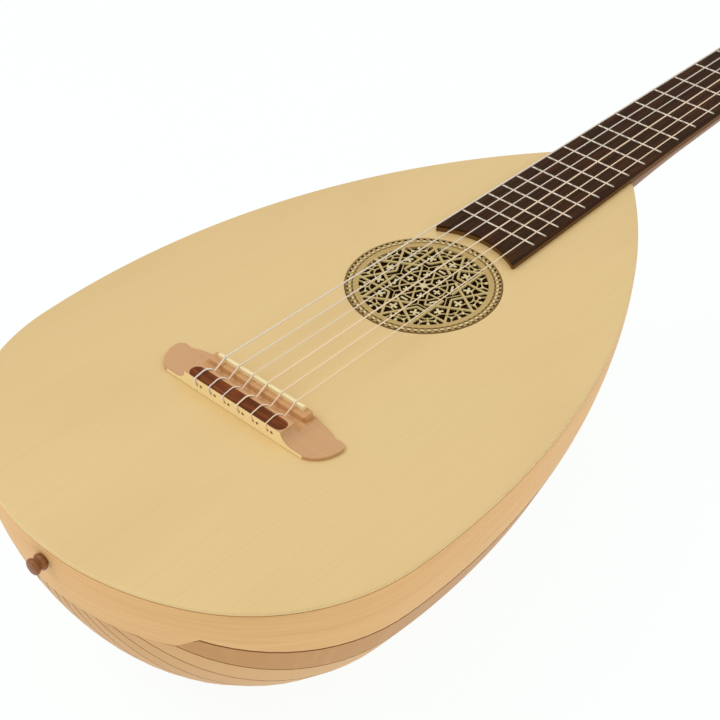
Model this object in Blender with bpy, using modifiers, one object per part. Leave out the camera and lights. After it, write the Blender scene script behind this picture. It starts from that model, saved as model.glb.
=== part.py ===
"""Lute guitar: a flat soundboard on a ribbed round bowl, six strings, and a slotted head with worm tuners.

Lengths are metres and angles degrees. The design frame has its origin on the soundboard under the
saddle: +X is the treble side, +Y runs up the neck and +Z is up from the soundboard. One empty carries
that frame, so that the finished object stands on the world's floor with its middle over the origin.
The head has a frame of its own, tilted back behind the nut, with X and Y in its face.
"""

from math import asin, atan2, ceil, copysign, cos, degrees, hypot, pi, radians, sin, sqrt, tan

import bmesh
import bpy
import numpy as np
from mathutils import Matrix, Vector

GAP = 0.0003
ALONG_X = Matrix(((0, 0, 1, 0), (1, 0, 0, 0), (0, 1, 0, 0), (0, 0, 0, 1)))

# Strings and frets
SCALE_LENGTH = 0.650
BODY_FRET = 12
FRETS_ON_BODY = 7
STRING_RADII = (0.00036, 0.00041, 0.00051, 0.00038, 0.00044, 0.00055)
SADDLE_SPACING = 0.01145
NUT_SPACING = 0.0083
SADDLE_TOP = 0.0110
NUT_REST = 0.0066

# Body: the soundboard's half outline is tangent arcs from the tail, each a radius and a turn
TAIL_Y = -0.1583
OUTLINE_ARCS = ((0.1859, 28.9), (0.1234, 56.6), (0.4876, 49.0))
ARC_STEPS = 160
BOARD_THICKNESS = 0.0026
RIB_THICKNESS = 0.0018
RIB_COUNT = 15
EDGE_RIB_ANGLE = 16.4
RIB_STATIONS = (9, 12)
BOARD_STATIONS = 40

# Clasp round the tail, seen from behind: half widths and depths of its corners
CLASP_RIM_HALF = 0.1186
CLASP_LOWER_HALF = 0.0758
CLASP_MIDDLE_DEPTH = 0.0420

# Blocks and bars inside the body
NECK_BLOCK_LENGTH = 0.040
TAIL_BLOCK_HALF_WIDTHS = (0.018, 0.068)
BLOCK_SEGMENTS = 14
BLOCK_GAP = 0.0008
BAR_PLACES = (0.255, 0.208, 0.078, -0.070)
BAR_WIDTH = 0.006
BAR_HEIGHT = 0.014
BAR_END_HEIGHT = 0.005
BAR_SCALLOP = 0.028

# Rosette
ROSE_Y = 0.1433
ROSE_RADIUS = 0.0494
ROSE_THICKNESS = 0.0022
ROSE_SIDES = 48
ROSE_HOLE_RINGS = ((0.0090, 6), (0.0185, 12), (0.0275, 12), (0.0365, 18))
ROSE_HOLE_LENGTH = 0.0066
ROSE_STRAP = 0.0017

# End button, turned about its axis out of the tail
BUTTON_DEPTH = 0.012
BUTTON_PEG_RADIUS = 0.0030
BUTTON_DISC_RADIUS = 0.0050
BUTTON_WAIST_RADIUS = 0.0036
BUTTON_LENGTH = 0.0086
BUTTON_PEG_LENGTH = 0.010

# Bridge: a block for the saddle and the string ties, which sweeps down at its ends into thin wings
BRIDGE_PLATE = 0.0030
BRIDGE_FRONT_Y = 0.0050
BRIDGE_TAIL_Y = -0.0223
BRIDGE_BLOCK_HALF = 0.0395
BRIDGE_SWEEP_END = 0.0520
BRIDGE_REACH = 0.0750
LEDGE = 0.0002
BRIDGE_BLOCK_TOP = 0.0090
SADDLE_RIDGE_TOP = 0.0080
CHANNEL_FLOOR = 0.0040
CHANNEL_BACK_Y = -0.0118
CHANNEL_FRONT_Y = -0.0036
SADDLE_LENGTH = 0.0714
SADDLE_WIDTH = 0.0030
SADDLE_Y = 0.0012
SADDLE_SEAT = 0.0045
INLAY_LENGTH = 0.0760
INLAY_WIDTH = 0.0090
INLAY_SEAT = 0.0075
TIE_HOLE_HEIGHT = 0.0054
TIE_HOLE_RADIUS = 0.0012
TIE_HOLE_SIDES = 6
SECOND_HOLE_OFFSET = 0.0034

# Neck and fingerboard
BOARD_HALF_AT_NUT = 0.0235
BOARD_HALF_AT_BODY = 0.0298
FINGERBOARD_TOP = 0.0050
FINGERBOARD_END_RADIUS = 0.0580
FRET_HEIGHT = 0.0010
FRET_WIDTH = 0.0024
FRET_INSET = 0.0015
FRET_TANG = 0.0008
NUT_THICKNESS = 0.0050
NUT_TOP = 0.0074
NECK_DEPTH_AT_NUT = 0.0170
NECK_DEPTH_AT_BODY = 0.0300
HEEL_LENGTH = 0.070
NECK_SEGMENTS = 12
NECK_SHARPNESS = 1.6

# Head, in its own frame
HEAD_TILT = 13.0
HEAD_FACE_Z = 0.0020
HEAD_THICKNESS = 0.019
HEAD_LENGTH = 0.190
HEAD_HALF_WIDTH = 0.031
HEAD_ROOT_HALF = 0.0245
SLOT_INNER = 0.0085
SLOT_OUTER = 0.0235
SLOT_START = 0.038
SLOT_END = 0.142
RAMP_START = 0.018
RAMP_DEPTH = 0.0055

# Tuners, in the head's frame
TUNER_PLACES = (0.055, 0.090, 0.125)
AXIS_DEPTH = HEAD_THICKNESS / 2
ROLLER_RADIUS = 0.0050
ROLLER_INNER_END = 0.0036
ROLLER_HOLE_RADIUS = 0.00548
ROLLER_NECK_RADIUS = 0.0030
PLATE_THICKNESS = 0.0012
PLATE_LENGTH = 0.112
PLATE_HEIGHT = 0.0130
PLATE_HOLE_RADIUS = 0.0036
GEAR_TEETH = 14
GEAR_MODULE = 0.00075
GEAR_WIDTH = 0.0024
GEAR_SCREW_RADIUS = 0.0025
GEAR_SCREW_HEIGHT = 0.0013
WORM_PITCH_RADIUS = 0.00225
MESH_CLEARANCE = 0.00015
WORM_TURNS = 2
WORM_STEPS = 12
SHAFT_RADIUS = 0.0014
SHAFT_HEAD_RADIUS = 0.0022
TAB_REACH = 0.0044
TAB_THICKNESS = 0.0012
TAB_HALF_WIDTH = 0.0031
TAB_HOLE_RADIUS = 0.0020
SHAFT_TOP = 0.0068
SHAFT_END = -0.0172
BUTTON_TOP = -0.0122
KNOB_RINGS = (
    (0.0031, 0.0031, 0.0),
    (0.0033, 0.0033, -0.0020),
    (0.0070, 0.0050, -0.0046),
    (0.0082, 0.0058, -0.0086),
    (0.0070, 0.0050, -0.0124),
    (0.0030, 0.0024, -0.0142),
)
KNOB_SOCKET_RADIUS = 0.0018
KNOB_SOCKET_DEPTH = 0.0058

# Worked out from the values above
NECK_JOINT_Y = SCALE_LENGTH / 2
NUT_BACK_Y = SCALE_LENGTH + NUT_THICKNESS
HEAD_Y = NUT_BACK_Y + GAP
RIB_ANGLE = (180 - 2 * EDGE_RIB_ANGLE) / RIB_COUNT
CLASP_END_DEPTH = CLASP_LOWER_HALF * tan(radians(EDGE_RIB_ANGLE + RIB_ANGLE))
RIM_Z = -(BOARD_THICKNESS + GAP)
PLATE_X = HEAD_HALF_WIDTH + GAP
GEAR_X = PLATE_X + PLATE_THICKNESS + GAP + WORM_PITCH_RADIUS + GEAR_MODULE
GEAR_PITCH_RADIUS = GEAR_MODULE * GEAR_TEETH / 2
WORM_OFFSET = GEAR_PITCH_RADIUS + WORM_PITCH_RADIUS + MESH_CLEARANCE
WORM_LEAD = pi * GEAR_MODULE


def trace_side():
    """Dense points (half width, y) up one side of the body, from the tail to just past the neck joint."""
    x, y, heading = 0.0, TAIL_Y, 0.0
    points = [(x, y)]
    for radius, turn in OUTLINE_ARCS:
        middle_x = x - radius * sin(heading)
        middle_y = y + radius * cos(heading)
        for step in range(1, ARC_STEPS + 1):
            angle = heading + radians(turn) * step / ARC_STEPS
            points.append((middle_x + radius * sin(angle), middle_y - radius * cos(angle)))
        x, y = points[-1]
        heading += radians(turn)
    return np.array(points)


SIDE = trace_side()
ALONG = np.concatenate([[0], np.cumsum(np.hypot(*np.diff(SIDE, axis=0).T))])
TANGENT = np.gradient(SIDE, ALONG, axis=0)
INWARD = np.column_stack([-TANGENT[:, 1], TANGENT[:, 0]])
SIDE_LENGTH = float(np.interp(NECK_JOINT_Y, SIDE[:, 1], ALONG))
WIDEST_STEP = int(SIDE[:, 0].argmax())
WIDEST = SIDE[WIDEST_STEP, 0]
WIDEST_ALONG = ALONG[WIDEST_STEP]
INNER_SIDE = SIDE + (RIB_THICKNESS + BLOCK_GAP) * INWARD
BOWL_DEPTH = WIDEST * cos(radians(RIB_ANGLE / 2))


def side_point(along, inset=0.0):
    """(Half width, y) at a distance along the side from the tail, moved in from the surface by inset."""
    return tuple(
        np.interp(along, ALONG, SIDE[:, axis]) + inset * np.interp(along, ALONG, INWARD[:, axis])
        for axis in (0, 1)
    )


def along_at_half_width(half_width):
    """Distance along the side at which the tail first has this half width."""
    return float(np.interp(half_width, SIDE[: WIDEST_STEP + 1, 0], ALONG[: WIDEST_STEP + 1]))


def inner_radius(y):
    """Radius of the room inside the bowl at a place along the neck."""
    return float(np.interp(y, INNER_SIDE[:, 1], INNER_SIDE[:, 0]))


def bowl_point(along, angle, inset=0.0):
    """Point of the bowl, a half turn of the side about the Y axis. Angle 0 is the treble rim."""
    half_width, y = side_point(along, inset)
    return Vector((half_width * cos(radians(angle)), y, -half_width * sin(radians(angle))))


def fret_y(number):
    return SCALE_LENGTH * 2 ** (-number / 12)


def fingerboard_half(y):
    slope = (BOARD_HALF_AT_BODY - BOARD_HALF_AT_NUT) / (SCALE_LENGTH - NECK_JOINT_Y)
    return BOARD_HALF_AT_NUT + slope * (SCALE_LENGTH - y)


def arc(centre, radius, start, end, steps):
    """Points on a circle from one angle to another, both included."""
    angles = [radians(start + (end - start) * step / steps) for step in range(steps + 1)]
    return [(centre[0] + radius * cos(angle), centre[1] + radius * sin(angle)) for angle in angles]


def circle(centre, radius, sides, phase=0.0):
    return arc(centre, radius, phase, phase + 360 * (sides - 1) / sides, sides - 1)


def mirrored(half):
    """A closed outline from its half at +X, whose ends aren't on the middle line."""
    return half + [(-x, y) for x, y in reversed(half)]


def clear_scene():
    for thing in list(bpy.data.objects):
        bpy.data.objects.remove(thing)


def new_collection(name, hidden=False):
    made = bpy.data.collections.new(name)
    made.hide_render = hidden
    bpy.context.scene.collection.children.link(made)
    return made


def new_empty(name, matrix, parent=None):
    frame = bpy.data.objects.new(name, None)
    frame.empty_display_size = 0.03
    PARTS.objects.link(frame)
    frame.parent = parent
    frame.matrix_local = matrix
    return frame


def finish_for(name, colour, roughness, metallic=0.0):
    """A Principled finish from its colour, roughness and metallic value."""
    made = bpy.data.materials.new(name)
    made.use_nodes = True
    made.diffuse_color = (*colour, 1)
    shader = made.node_tree.nodes["Principled BSDF"]
    shader.inputs["Base Color"].default_value = (*colour, 1)
    shader.inputs["Roughness"].default_value = roughness
    shader.inputs["Metallic"].default_value = metallic
    return made


def make_finishes():
    return {
        "spruce": finish_for("spruce_top", (0.79, 0.58, 0.29), 0.42),
        "bar_spruce": finish_for("bar_spruce", (0.74, 0.56, 0.33), 0.6),
        "maple": finish_for("rib_maple", (0.74, 0.46, 0.24), 0.38),
        "dark_maple": finish_for("second_rib_maple", (0.60, 0.34, 0.18), 0.38),
        "block": finish_for("block_wood", (0.70, 0.50, 0.30), 0.65),
        "rose": finish_for("rosette_wood", (0.55, 0.43, 0.20), 0.55),
        "bridge": finish_for("bridge_pearwood", (0.62, 0.36, 0.20), 0.5),
        "inlay": finish_for("rosewood_inlay", (0.16, 0.04, 0.02), 0.4),
        "bone": finish_for("bone", (0.90, 0.76, 0.44), 0.35),
        "rosewood": finish_for("rosewood_board", (0.11, 0.035, 0.018), 0.48),
        "neck": finish_for("neck_wood", (0.56, 0.32, 0.15), 0.42),
        "button": finish_for("walnut_button", (0.22, 0.08, 0.025), 0.35),
        "wound": finish_for("wound_string", (0.72, 0.70, 0.68), 0.3, 1.0),
        "nylon": finish_for("nylon_string", (0.85, 0.78, 0.66), 0.3),
        "plate": finish_for("tuner_plate_metal", (0.80, 0.66, 0.36), 0.25, 1.0),
        "steel": finish_for("tuner_steel", (0.62, 0.62, 0.63), 0.28, 1.0),
        "roller": finish_for("roller_bone", (0.86, 0.80, 0.66), 0.4),
        "knob": finish_for("pearl_knob", (0.88, 0.84, 0.76), 0.2),
    }


def link(name, mesh, finish, parent, matrix=Matrix(), collection=None):
    """An object of this mesh in its place under its parent."""
    if finish:
        mesh.materials.clear()
        mesh.materials.append(finish)
    made = bpy.data.objects.new(name, mesh)
    (collection or PARTS).objects.link(made)
    made.parent = parent
    made.matrix_local = matrix
    if finish:
        mesh.shade_smooth()
        mesh.set_sharp_from_angle(angle=radians(35))
    return made


def mesh_from(name, shape):
    """The mesh of a bmesh, its faces turned outward."""
    bmesh.ops.recalc_face_normals(shape, faces=shape.faces)
    mesh = bpy.data.meshes.new(name)
    shape.to_mesh(mesh)
    shape.free()
    return mesh


def baked_mesh(guide):
    """The evaluated mesh of an object, welded, with the object removed."""
    name = guide.name
    graph = bpy.context.evaluated_depsgraph_get()
    mesh = bpy.data.meshes.new_from_object(guide.evaluated_get(graph))
    bpy.data.objects.remove(guide)
    shape = bmesh.new()
    shape.from_mesh(mesh)
    bpy.data.meshes.remove(mesh)
    bmesh.ops.remove_doubles(shape, verts=shape.verts, dist=1e-6)
    return mesh_from(name, shape)


def lofted(name, rings, rungs=False):
    """A closed skin through rings of points, capped at both ends by one face or by rungs of a ladder."""
    shape = bmesh.new()
    rows = [[shape.verts.new(point) for point in ring] for ring in rings]
    for lower, upper in zip(rows, rows[1:]):
        for i in range(len(lower)):
            j = (i + 1) % len(lower)
            shape.faces.new((lower[i], lower[j], upper[j], upper[i]))
    for row in (rows[0], rows[-1]):
        if not rungs:
            shape.faces.new(row)
            continue
        for i in range(len(row) // 2 - 1):
            shape.faces.new((row[i], row[i + 1], row[-i - 2], row[-i - 1]))
    return mesh_from(name, shape)


def plate(name, outlines, thickness):
    """A flat plate, centred on its own XY plane. The first outline is its edge, the rest are holes."""
    flat = bpy.data.curves.new(name, "CURVE")
    flat.dimensions = "2D"
    flat.fill_mode = "BOTH"
    flat.extrude = thickness / 2
    for outline in outlines:
        spline = flat.splines.new("POLY")
        spline.points.add(len(outline) - 1)
        for point, (x, y) in zip(spline.points, outline):
            point.co = (x, y, 0, 1)
        spline.use_cyclic_u = True
    guide = bpy.data.objects.new(name, flat)
    bpy.context.scene.collection.objects.link(guide)
    return baked_mesh(guide)


def block(name, low, high):
    """A box between two corners."""
    shape = bmesh.new()
    bmesh.ops.create_cube(shape, size=1)
    low, high = Vector(low), Vector(high)
    bmesh.ops.transform(
        shape,
        matrix=Matrix.Translation((low + high) / 2) @ Matrix.Diagonal((*(high - low), 1)),
        verts=shape.verts,
    )
    return mesh_from(name, shape)


def rod(name, radius, start, end, sides):
    """A round rod between two points."""
    start, end = Vector(start), Vector(end)
    shape = bmesh.new()
    bmesh.ops.create_cone(
        shape, cap_ends=True, segments=sides, radius1=radius, radius2=radius, depth=(end - start).length
    )
    turn = (end - start).to_track_quat("Z", "Y").to_matrix().to_4x4()
    bmesh.ops.transform(shape, matrix=Matrix.Translation((start + end) / 2) @ turn, verts=shape.verts)
    return mesh_from(name, shape)


def turned(name, profile, steps):
    """A solid turned about Z from (radius, height) points that run down its outer side."""
    mesh = bpy.data.meshes.new(name)
    mesh.from_pydata([(radius, 0, height) for radius, height in profile], turned_edges(profile), [])
    guide = bpy.data.objects.new(name, mesh)
    bpy.context.scene.collection.objects.link(guide)
    screw = guide.modifiers.new("turn", "SCREW")
    screw.steps = steps
    screw.render_steps = steps
    screw.use_merge_vertices = True
    screw.merge_threshold = 1e-6
    return baked_mesh(guide)


def turned_edges(profile):
    return [(i, i + 1) for i in range(len(profile) - 1)]


def apply_boolean(target, tool, operation="DIFFERENCE"):
    """Keeps a Boolean on the target, with its tool as a hidden guide."""
    tool.hide_render = True
    tool.display_type = "WIRE"
    step = target.modifiers.new(tool.name, "BOOLEAN")
    step.operation = operation
    step.object = tool


def cut(target, mesh, matrix=Matrix()):
    """Cuts a shape, given in the frame of the target's parent, out of the target."""
    tool = link(mesh.name, mesh, None, target.parent, matrix, CUTTERS)
    apply_boolean(target, tool)


def join(target, mesh, matrix=Matrix()):
    tool = link(mesh.name, mesh, None, target.parent, matrix, CUTTERS)
    apply_boolean(target, tool, "UNION")


def side_stations(start, first, second):
    """Distances along the side, with one at the widest place of the body."""
    lower = np.linspace(start, WIDEST_ALONG, first + 1)
    upper = np.linspace(WIDEST_ALONG, SIDE_LENGTH, second + 1)
    return np.concatenate([lower, upper[1:]])


def make_soundboard():
    side = [side_point(along) for along in np.linspace(0, SIDE_LENGTH, BOARD_STATIONS + 1)[1:]]
    outline = [(0.0, TAIL_Y)] + side + [(-x, y) for x, y in reversed(side)]
    hole = circle((0, ROSE_Y), ROSE_RADIUS + GAP, ROSE_SIDES)
    mesh = plate("soundboard", [outline, hole], BOARD_THICKNESS)
    link("soundboard", mesh, FINISH["spruce"], DESIGN, Matrix.Translation((0, 0, -BOARD_THICKNESS / 2)))


def kite(radius, angle, length, width):
    """A four-cornered hole across a radius of the rosette."""
    out = Vector((cos(angle), sin(angle)))
    across = Vector((-sin(angle), cos(angle)))
    corners = (
        out * (radius - length / 2),
        out * radius + across * width / 2,
        out * (radius + length / 2),
        out * radius - across * width / 2,
    )
    return [(corner.x, corner.y) for corner in corners]


def make_rosette():
    outlines = [circle((0, 0), ROSE_RADIUS, ROSE_SIDES)]
    for ring, (radius, count) in enumerate(ROSE_HOLE_RINGS):
        width = 2 * pi * radius / count - ROSE_STRAP
        for i in range(count):
            angle = 2 * pi * (i + 0.5 * (ring % 2)) / count
            outlines.append(kite(radius, angle, ROSE_HOLE_LENGTH, min(width, ROSE_HOLE_LENGTH)))
    mesh = plate("rosette", outlines, ROSE_THICKNESS)
    link("rosette", mesh, FINISH["rose"], DESIGN, Matrix.Translation((0, ROSE_Y, -ROSE_THICKNESS / 2)))


def clasp_edge(angle):
    """(x, depth) of the clasp's edge, seen from behind, where it crosses an angle of the bowl."""
    slope = tan(radians(min(angle, 180 - angle)))
    if slope < CLASP_END_DEPTH / CLASP_LOWER_HALF:
        narrowing, drop = CLASP_RIM_HALF - CLASP_LOWER_HALF, CLASP_END_DEPTH + RIM_Z
        share = (CLASP_RIM_HALF * slope + RIM_Z) / (drop + narrowing * slope)
        return CLASP_RIM_HALF - narrowing * share, drop * share - RIM_Z
    bend = (CLASP_MIDDLE_DEPTH - CLASP_END_DEPTH) / CLASP_LOWER_HALF**2
    x = 2 * CLASP_MIDDLE_DEPTH / (slope + sqrt(slope**2 + 4 * bend * CLASP_MIDDLE_DEPTH))
    return x, CLASP_MIDDLE_DEPTH - bend * x**2


def rib_start(angle):
    """Distance along the side at which a rib leaves the clasp."""
    return along_at_half_width(hypot(*clasp_edge(angle))) + 2 * GAP


def make_clasp():
    end_rows = [clasp_edge(angle)[0] for angle in (EDGE_RIB_ANGLE / 2, EDGE_RIB_ANGLE)]
    steps = [CLASP_RIM_HALF, *end_rows, CLASP_LOWER_HALF]
    rows = [(CLASP_RIM_HALF - x) / (CLASP_RIM_HALF - CLASP_LOWER_HALF) for x in steps]
    rings = []
    for column in range(2, 2 * RIB_COUNT - 1):
        angle = EDGE_RIB_ANGLE + RIB_ANGLE * column / 2
        x, depth = clasp_edge(angle)
        x *= -1 if angle > 90 else 1
        rim = Vector((CLASP_RIM_HALF * x / CLASP_LOWER_HALF, RIM_Z))
        places = [rim.lerp(Vector((x, -depth)), row) for row in rows]
        outer = [clasp_point(place, 0.0) for place in places]
        inner = [clasp_point(place, RIB_THICKNESS) for place in reversed(places)]
        rings.append(outer + inner)
    clasp = link("clasp", lofted("clasp", rings, rungs=True), FINISH["maple"], DESIGN)
    cut(clasp, button_hole("clasp_button_hole"))


def clasp_point(place, inset):
    """Point of the tail seen from behind at (x, z)."""
    along = along_at_half_width(place.length)
    return bowl_point(along, degrees(atan2(-place.y, place.x)), inset)


def button_hole(name):
    start = (0, TAIL_Y - 0.01, -BUTTON_DEPTH)
    end = (0, TAIL_Y + 0.04, -BUTTON_DEPTH)
    return rod(name, BUTTON_PEG_RADIUS + 2 * GAP, start, end, 12)


def strip_mesh(name, rows, side):
    """A rib: rows of (distance along the side, angle) lines, each run the whole length of the rib."""
    rings = []
    for station in range(len(rows[0])):
        outer = [strip_point(row[station], 0.0, side) for row in rows]
        inner = [strip_point(row[station], RIB_THICKNESS, side) for row in reversed(rows)]
        rings.append(outer + inner)
    return lofted(name, rings, rungs=True)


def strip_point(place, inset, side):
    along, angle, aside = place
    half_width = side_point(along, inset)[0]
    point = bowl_point(along, angle + degrees(aside / half_width), inset)
    point.x *= side
    return point


def joint_row(angle, aside):
    """A rib's edge beside a joint, half the joint's gap to one side of it."""
    return [(along, angle, aside) for along in side_stations(rib_start(angle), *RIB_STATIONS)]


def rim_row():
    start = along_at_half_width(CLASP_RIM_HALF) + 2 * GAP
    row = []
    for along in side_stations(start, *RIB_STATIONS):
        row.append((along, degrees(asin(-RIM_Z / side_point(along)[0])), 0.0))
    return row


def make_ribs():
    for i in range(RIB_COUNT):
        low = EDGE_RIB_ANGLE + RIB_ANGLE * i
        rows = [joint_row(low, GAP / 2), joint_row(low + RIB_ANGLE, -GAP / 2)]
        finish = FINISH["dark_maple" if i in (0, RIB_COUNT - 1) else "maple"]
        name = f"rib_{i + 1:02d}"
        link(name, strip_mesh(name, rows, 1), finish, DESIGN)
    for name, side in (("edge_rib_treble", 1), ("edge_rib_bass", -1)):
        middle = joint_row(EDGE_RIB_ANGLE / 2, 0.0)
        rows = [rim_row(), middle, joint_row(EDGE_RIB_ANGLE, -GAP / 2)]
        link(name, strip_mesh(name, rows, side), FINISH["maple"], DESIGN)


def half_disc(radius, y):
    """A half-round section inside the bowl, flat under the soundboard."""
    start = degrees(asin(-RIM_Z / radius))
    return [Vector((x, y, -z)) for x, z in arc((0, 0), radius, start, 180 - start, BLOCK_SEGMENTS)]


def make_blocks():
    rings = []
    for y in np.linspace(NECK_JOINT_Y - NECK_BLOCK_LENGTH, NECK_JOINT_Y, 4):
        rings.append(half_disc(inner_radius(y) * cos(pi / BLOCK_SEGMENTS / 2), y))
    link("neck_block", lofted("neck_block", rings), FINISH["block"], DESIGN)
    rings = []
    for radius in np.linspace(*TAIL_BLOCK_HALF_WIDTHS, 5):
        y = float(np.interp(radius, INNER_SIDE[: WIDEST_STEP + 1, 0], INNER_SIDE[: WIDEST_STEP + 1, 1]))
        rings.append(half_disc(radius, y))
    tail_block = link("tail_block", lofted("tail_block", rings), FINISH["block"], DESIGN)
    cut(tail_block, button_hole("block_button_hole"))


def make_bars():
    for number, y in enumerate(BAR_PLACES, 1):
        radius = inner_radius(y)
        half = sqrt(radius**2 - (BOARD_THICKNESS + BAR_HEIGHT) ** 2) - BAR_END_HEIGHT
        outline = [
            (-half, 0),
            (half, 0),
            (half, -BAR_END_HEIGHT),
            (half - BAR_SCALLOP, -BAR_HEIGHT),
            (-half + BAR_SCALLOP, -BAR_HEIGHT),
            (-half, -BAR_END_HEIGHT),
        ]
        name = f"harmonic_bar_{number}"
        upright = Matrix.Translation((0, y, RIM_Z)) @ Matrix.Rotation(radians(90), 4, "X")
        link(name, plate(name, [outline], BAR_WIDTH), FINISH["bar_spruce"], DESIGN, upright)


def make_end_button():
    disc, waist, peg = BUTTON_DISC_RADIUS, BUTTON_WAIST_RADIUS, BUTTON_PEG_RADIUS
    length = BUTTON_LENGTH
    profile = [
        (0, length),
        (disc * 0.62, length),
        (disc * 0.92, length * 0.90),
        (disc, length * 0.76),
        (disc * 0.90, length * 0.60),
        (waist, length * 0.50),
        (disc * 0.90, length * 0.42),
        (disc, length * 0.30),
        (disc * 0.97, length * 0.06),
        (peg, length * 0.06),
        (peg, -BUTTON_PEG_LENGTH),
        (0, -BUTTON_PEG_LENGTH),
    ]
    outward = Matrix.Translation((0, TAIL_Y, -BUTTON_DEPTH)) @ Matrix.Rotation(radians(90), 4, "X")
    link("end_button", turned("end_button", profile, 16), FINISH["button"], DESIGN, outward)


def bridge_outline():
    """Half of the bridge's plate: a straight tail edge, a round lobe, a cusp and a long sweep to the front."""
    lobe = arc((0.0621, -0.0052), 0.0067, -50, 110, 6)
    return [
        (0.0560, BRIDGE_TAIL_Y),
        (0.0624, -0.0180),
        *lobe,
        (0.0576, 0.0002),
        (0.0545, 0.0023),
        (0.0490, 0.0040),
        (BRIDGE_BLOCK_HALF, BRIDGE_FRONT_Y),
    ]


def string_x(number, spacing):
    """String 1 is on the treble side."""
    return spacing * (3.5 - number)


def bridge_section():
    """Plate, tie block, channel and saddle ridge, seen from the treble side as (y, z)."""
    front, tail, ledge = BRIDGE_FRONT_Y - LEDGE, BRIDGE_TAIL_Y - LEDGE, GAP + BRIDGE_PLATE - LEDGE
    return [
        (tail, GAP),
        (BRIDGE_FRONT_Y + LEDGE, GAP),
        (BRIDGE_FRONT_Y + LEDGE, ledge),
        (front, ledge),
        (front, SADDLE_RIDGE_TOP - 0.0016),
        (front - 0.0012, SADDLE_RIDGE_TOP),
        (CHANNEL_FRONT_Y, SADDLE_RIDGE_TOP),
        (CHANNEL_FRONT_Y, CHANNEL_FLOOR),
        (CHANNEL_BACK_Y, CHANNEL_FLOOR),
        (CHANNEL_BACK_Y, BRIDGE_BLOCK_TOP),
        (tail, BRIDGE_BLOCK_TOP),
    ]


def bridge_sweep(name, side):
    """The room over a wing: a hollow arc from the tie block's top down to the wing, then level."""
    above, wing_top = BRIDGE_BLOCK_TOP + 0.002, GAP + BRIDGE_PLATE
    run, rise = BRIDGE_SWEEP_END - BRIDGE_BLOCK_HALF, BRIDGE_BLOCK_TOP - wing_top
    radius = (run**2 + rise**2) / (2 * rise)
    start = 262 - degrees(asin(run / radius))
    outline = arc((BRIDGE_SWEEP_END, wing_top + radius), radius, start, 270, 7)
    outline += [(BRIDGE_REACH, wing_top), (BRIDGE_REACH, above), (outline[0][0], above)]
    return plate(name, [[(side * x, z) for x, z in outline]], 0.05)


def make_bridge():
    solid = plate("bridge", [bridge_section()], 2 * BRIDGE_REACH)
    bridge = link("bridge", solid, FINISH["bridge"], DESIGN, ALONG_X)
    edge = plate("bridge_edge", [mirrored(bridge_outline())], 0.03)
    apply_boolean(bridge, link("bridge_edge", edge, None, DESIGN, collection=CUTTERS), "INTERSECT")
    upright = Matrix.Rotation(radians(90), 4, "X")
    for side, word in ((-1, "bass"), (1, "treble")):
        cut(bridge, bridge_sweep(f"{word}_wing_sweep", side), upright)
    above = BRIDGE_BLOCK_TOP + 0.002
    slot_half = SADDLE_WIDTH / 2 + GAP
    end = SADDLE_LENGTH / 2 + GAP
    low = (-end, SADDLE_Y - slot_half, SADDLE_SEAT)
    cut(bridge, block("saddle_slot", low, (end, SADDLE_Y + slot_half, above)))
    seat = plate("inlay_seat", [stadium(INLAY_LENGTH + 2 * GAP, INLAY_WIDTH + 2 * GAP)], 0.004)
    cut(bridge, seat, Matrix.Translation((0, inlay_y(), INLAY_SEAT + 0.002)))
    for number in range(1, 7):
        for offset in (0.0, SECOND_HOLE_OFFSET):
            x = string_x(number, SADDLE_SPACING) + offset
            start = (x, BRIDGE_TAIL_Y - 0.002, TIE_HOLE_HEIGHT)
            end = (x, CHANNEL_BACK_Y + 0.002, TIE_HOLE_HEIGHT)
            cut(bridge, rod(f"tie_hole_{number}", TIE_HOLE_RADIUS, start, end, TIE_HOLE_SIDES))


def inlay_y():
    return (BRIDGE_TAIL_Y + CHANNEL_BACK_Y) / 2


def stadium(length, width):
    """A flat bar outline with round ends."""
    radius = width / 2
    half = length / 2 - radius
    return arc((half, 0), radius, -90, 90, 6) + arc((-half, 0), radius, 90, 270, 6)


def make_inlay_and_saddle():
    thickness = BRIDGE_BLOCK_TOP - INLAY_SEAT - GAP
    inlay = plate("tie_block_inlay", [stadium(INLAY_LENGTH, INLAY_WIDTH)], thickness)
    place = Matrix.Translation((0, inlay_y(), BRIDGE_BLOCK_TOP - thickness / 2))
    link("tie_block_inlay", inlay, FINISH["inlay"], DESIGN, place)
    half = SADDLE_WIDTH / 2
    foot = SADDLE_SEAT + GAP
    section = [(-half, foot), (half, foot), (half, SADDLE_TOP - half / 2)]
    section += arc((0, SADDLE_TOP - half), half, 60, 120, 2) + [(-half, SADDLE_TOP - half / 2)]
    place = Matrix.Translation((0, SADDLE_Y, 0)) @ ALONG_X
    link("saddle", plate("saddle", [section], SADDLE_LENGTH), FINISH["bone"], DESIGN, place)


def fret_bar(number):
    """One fret: a crown on a short tang that is sunk in the board."""
    half = FRET_WIDTH / 2
    crown = [(half, 0), (half * 0.45, FRET_HEIGHT), (-half * 0.45, FRET_HEIGHT), (-half, 0)]
    section = [(half, -FRET_TANG), *crown, (-half, -FRET_TANG)]
    return plate(f"fret_{number:02d}", [section], 2 * (fingerboard_half(fret_y(number)) - FRET_INSET))


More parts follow.
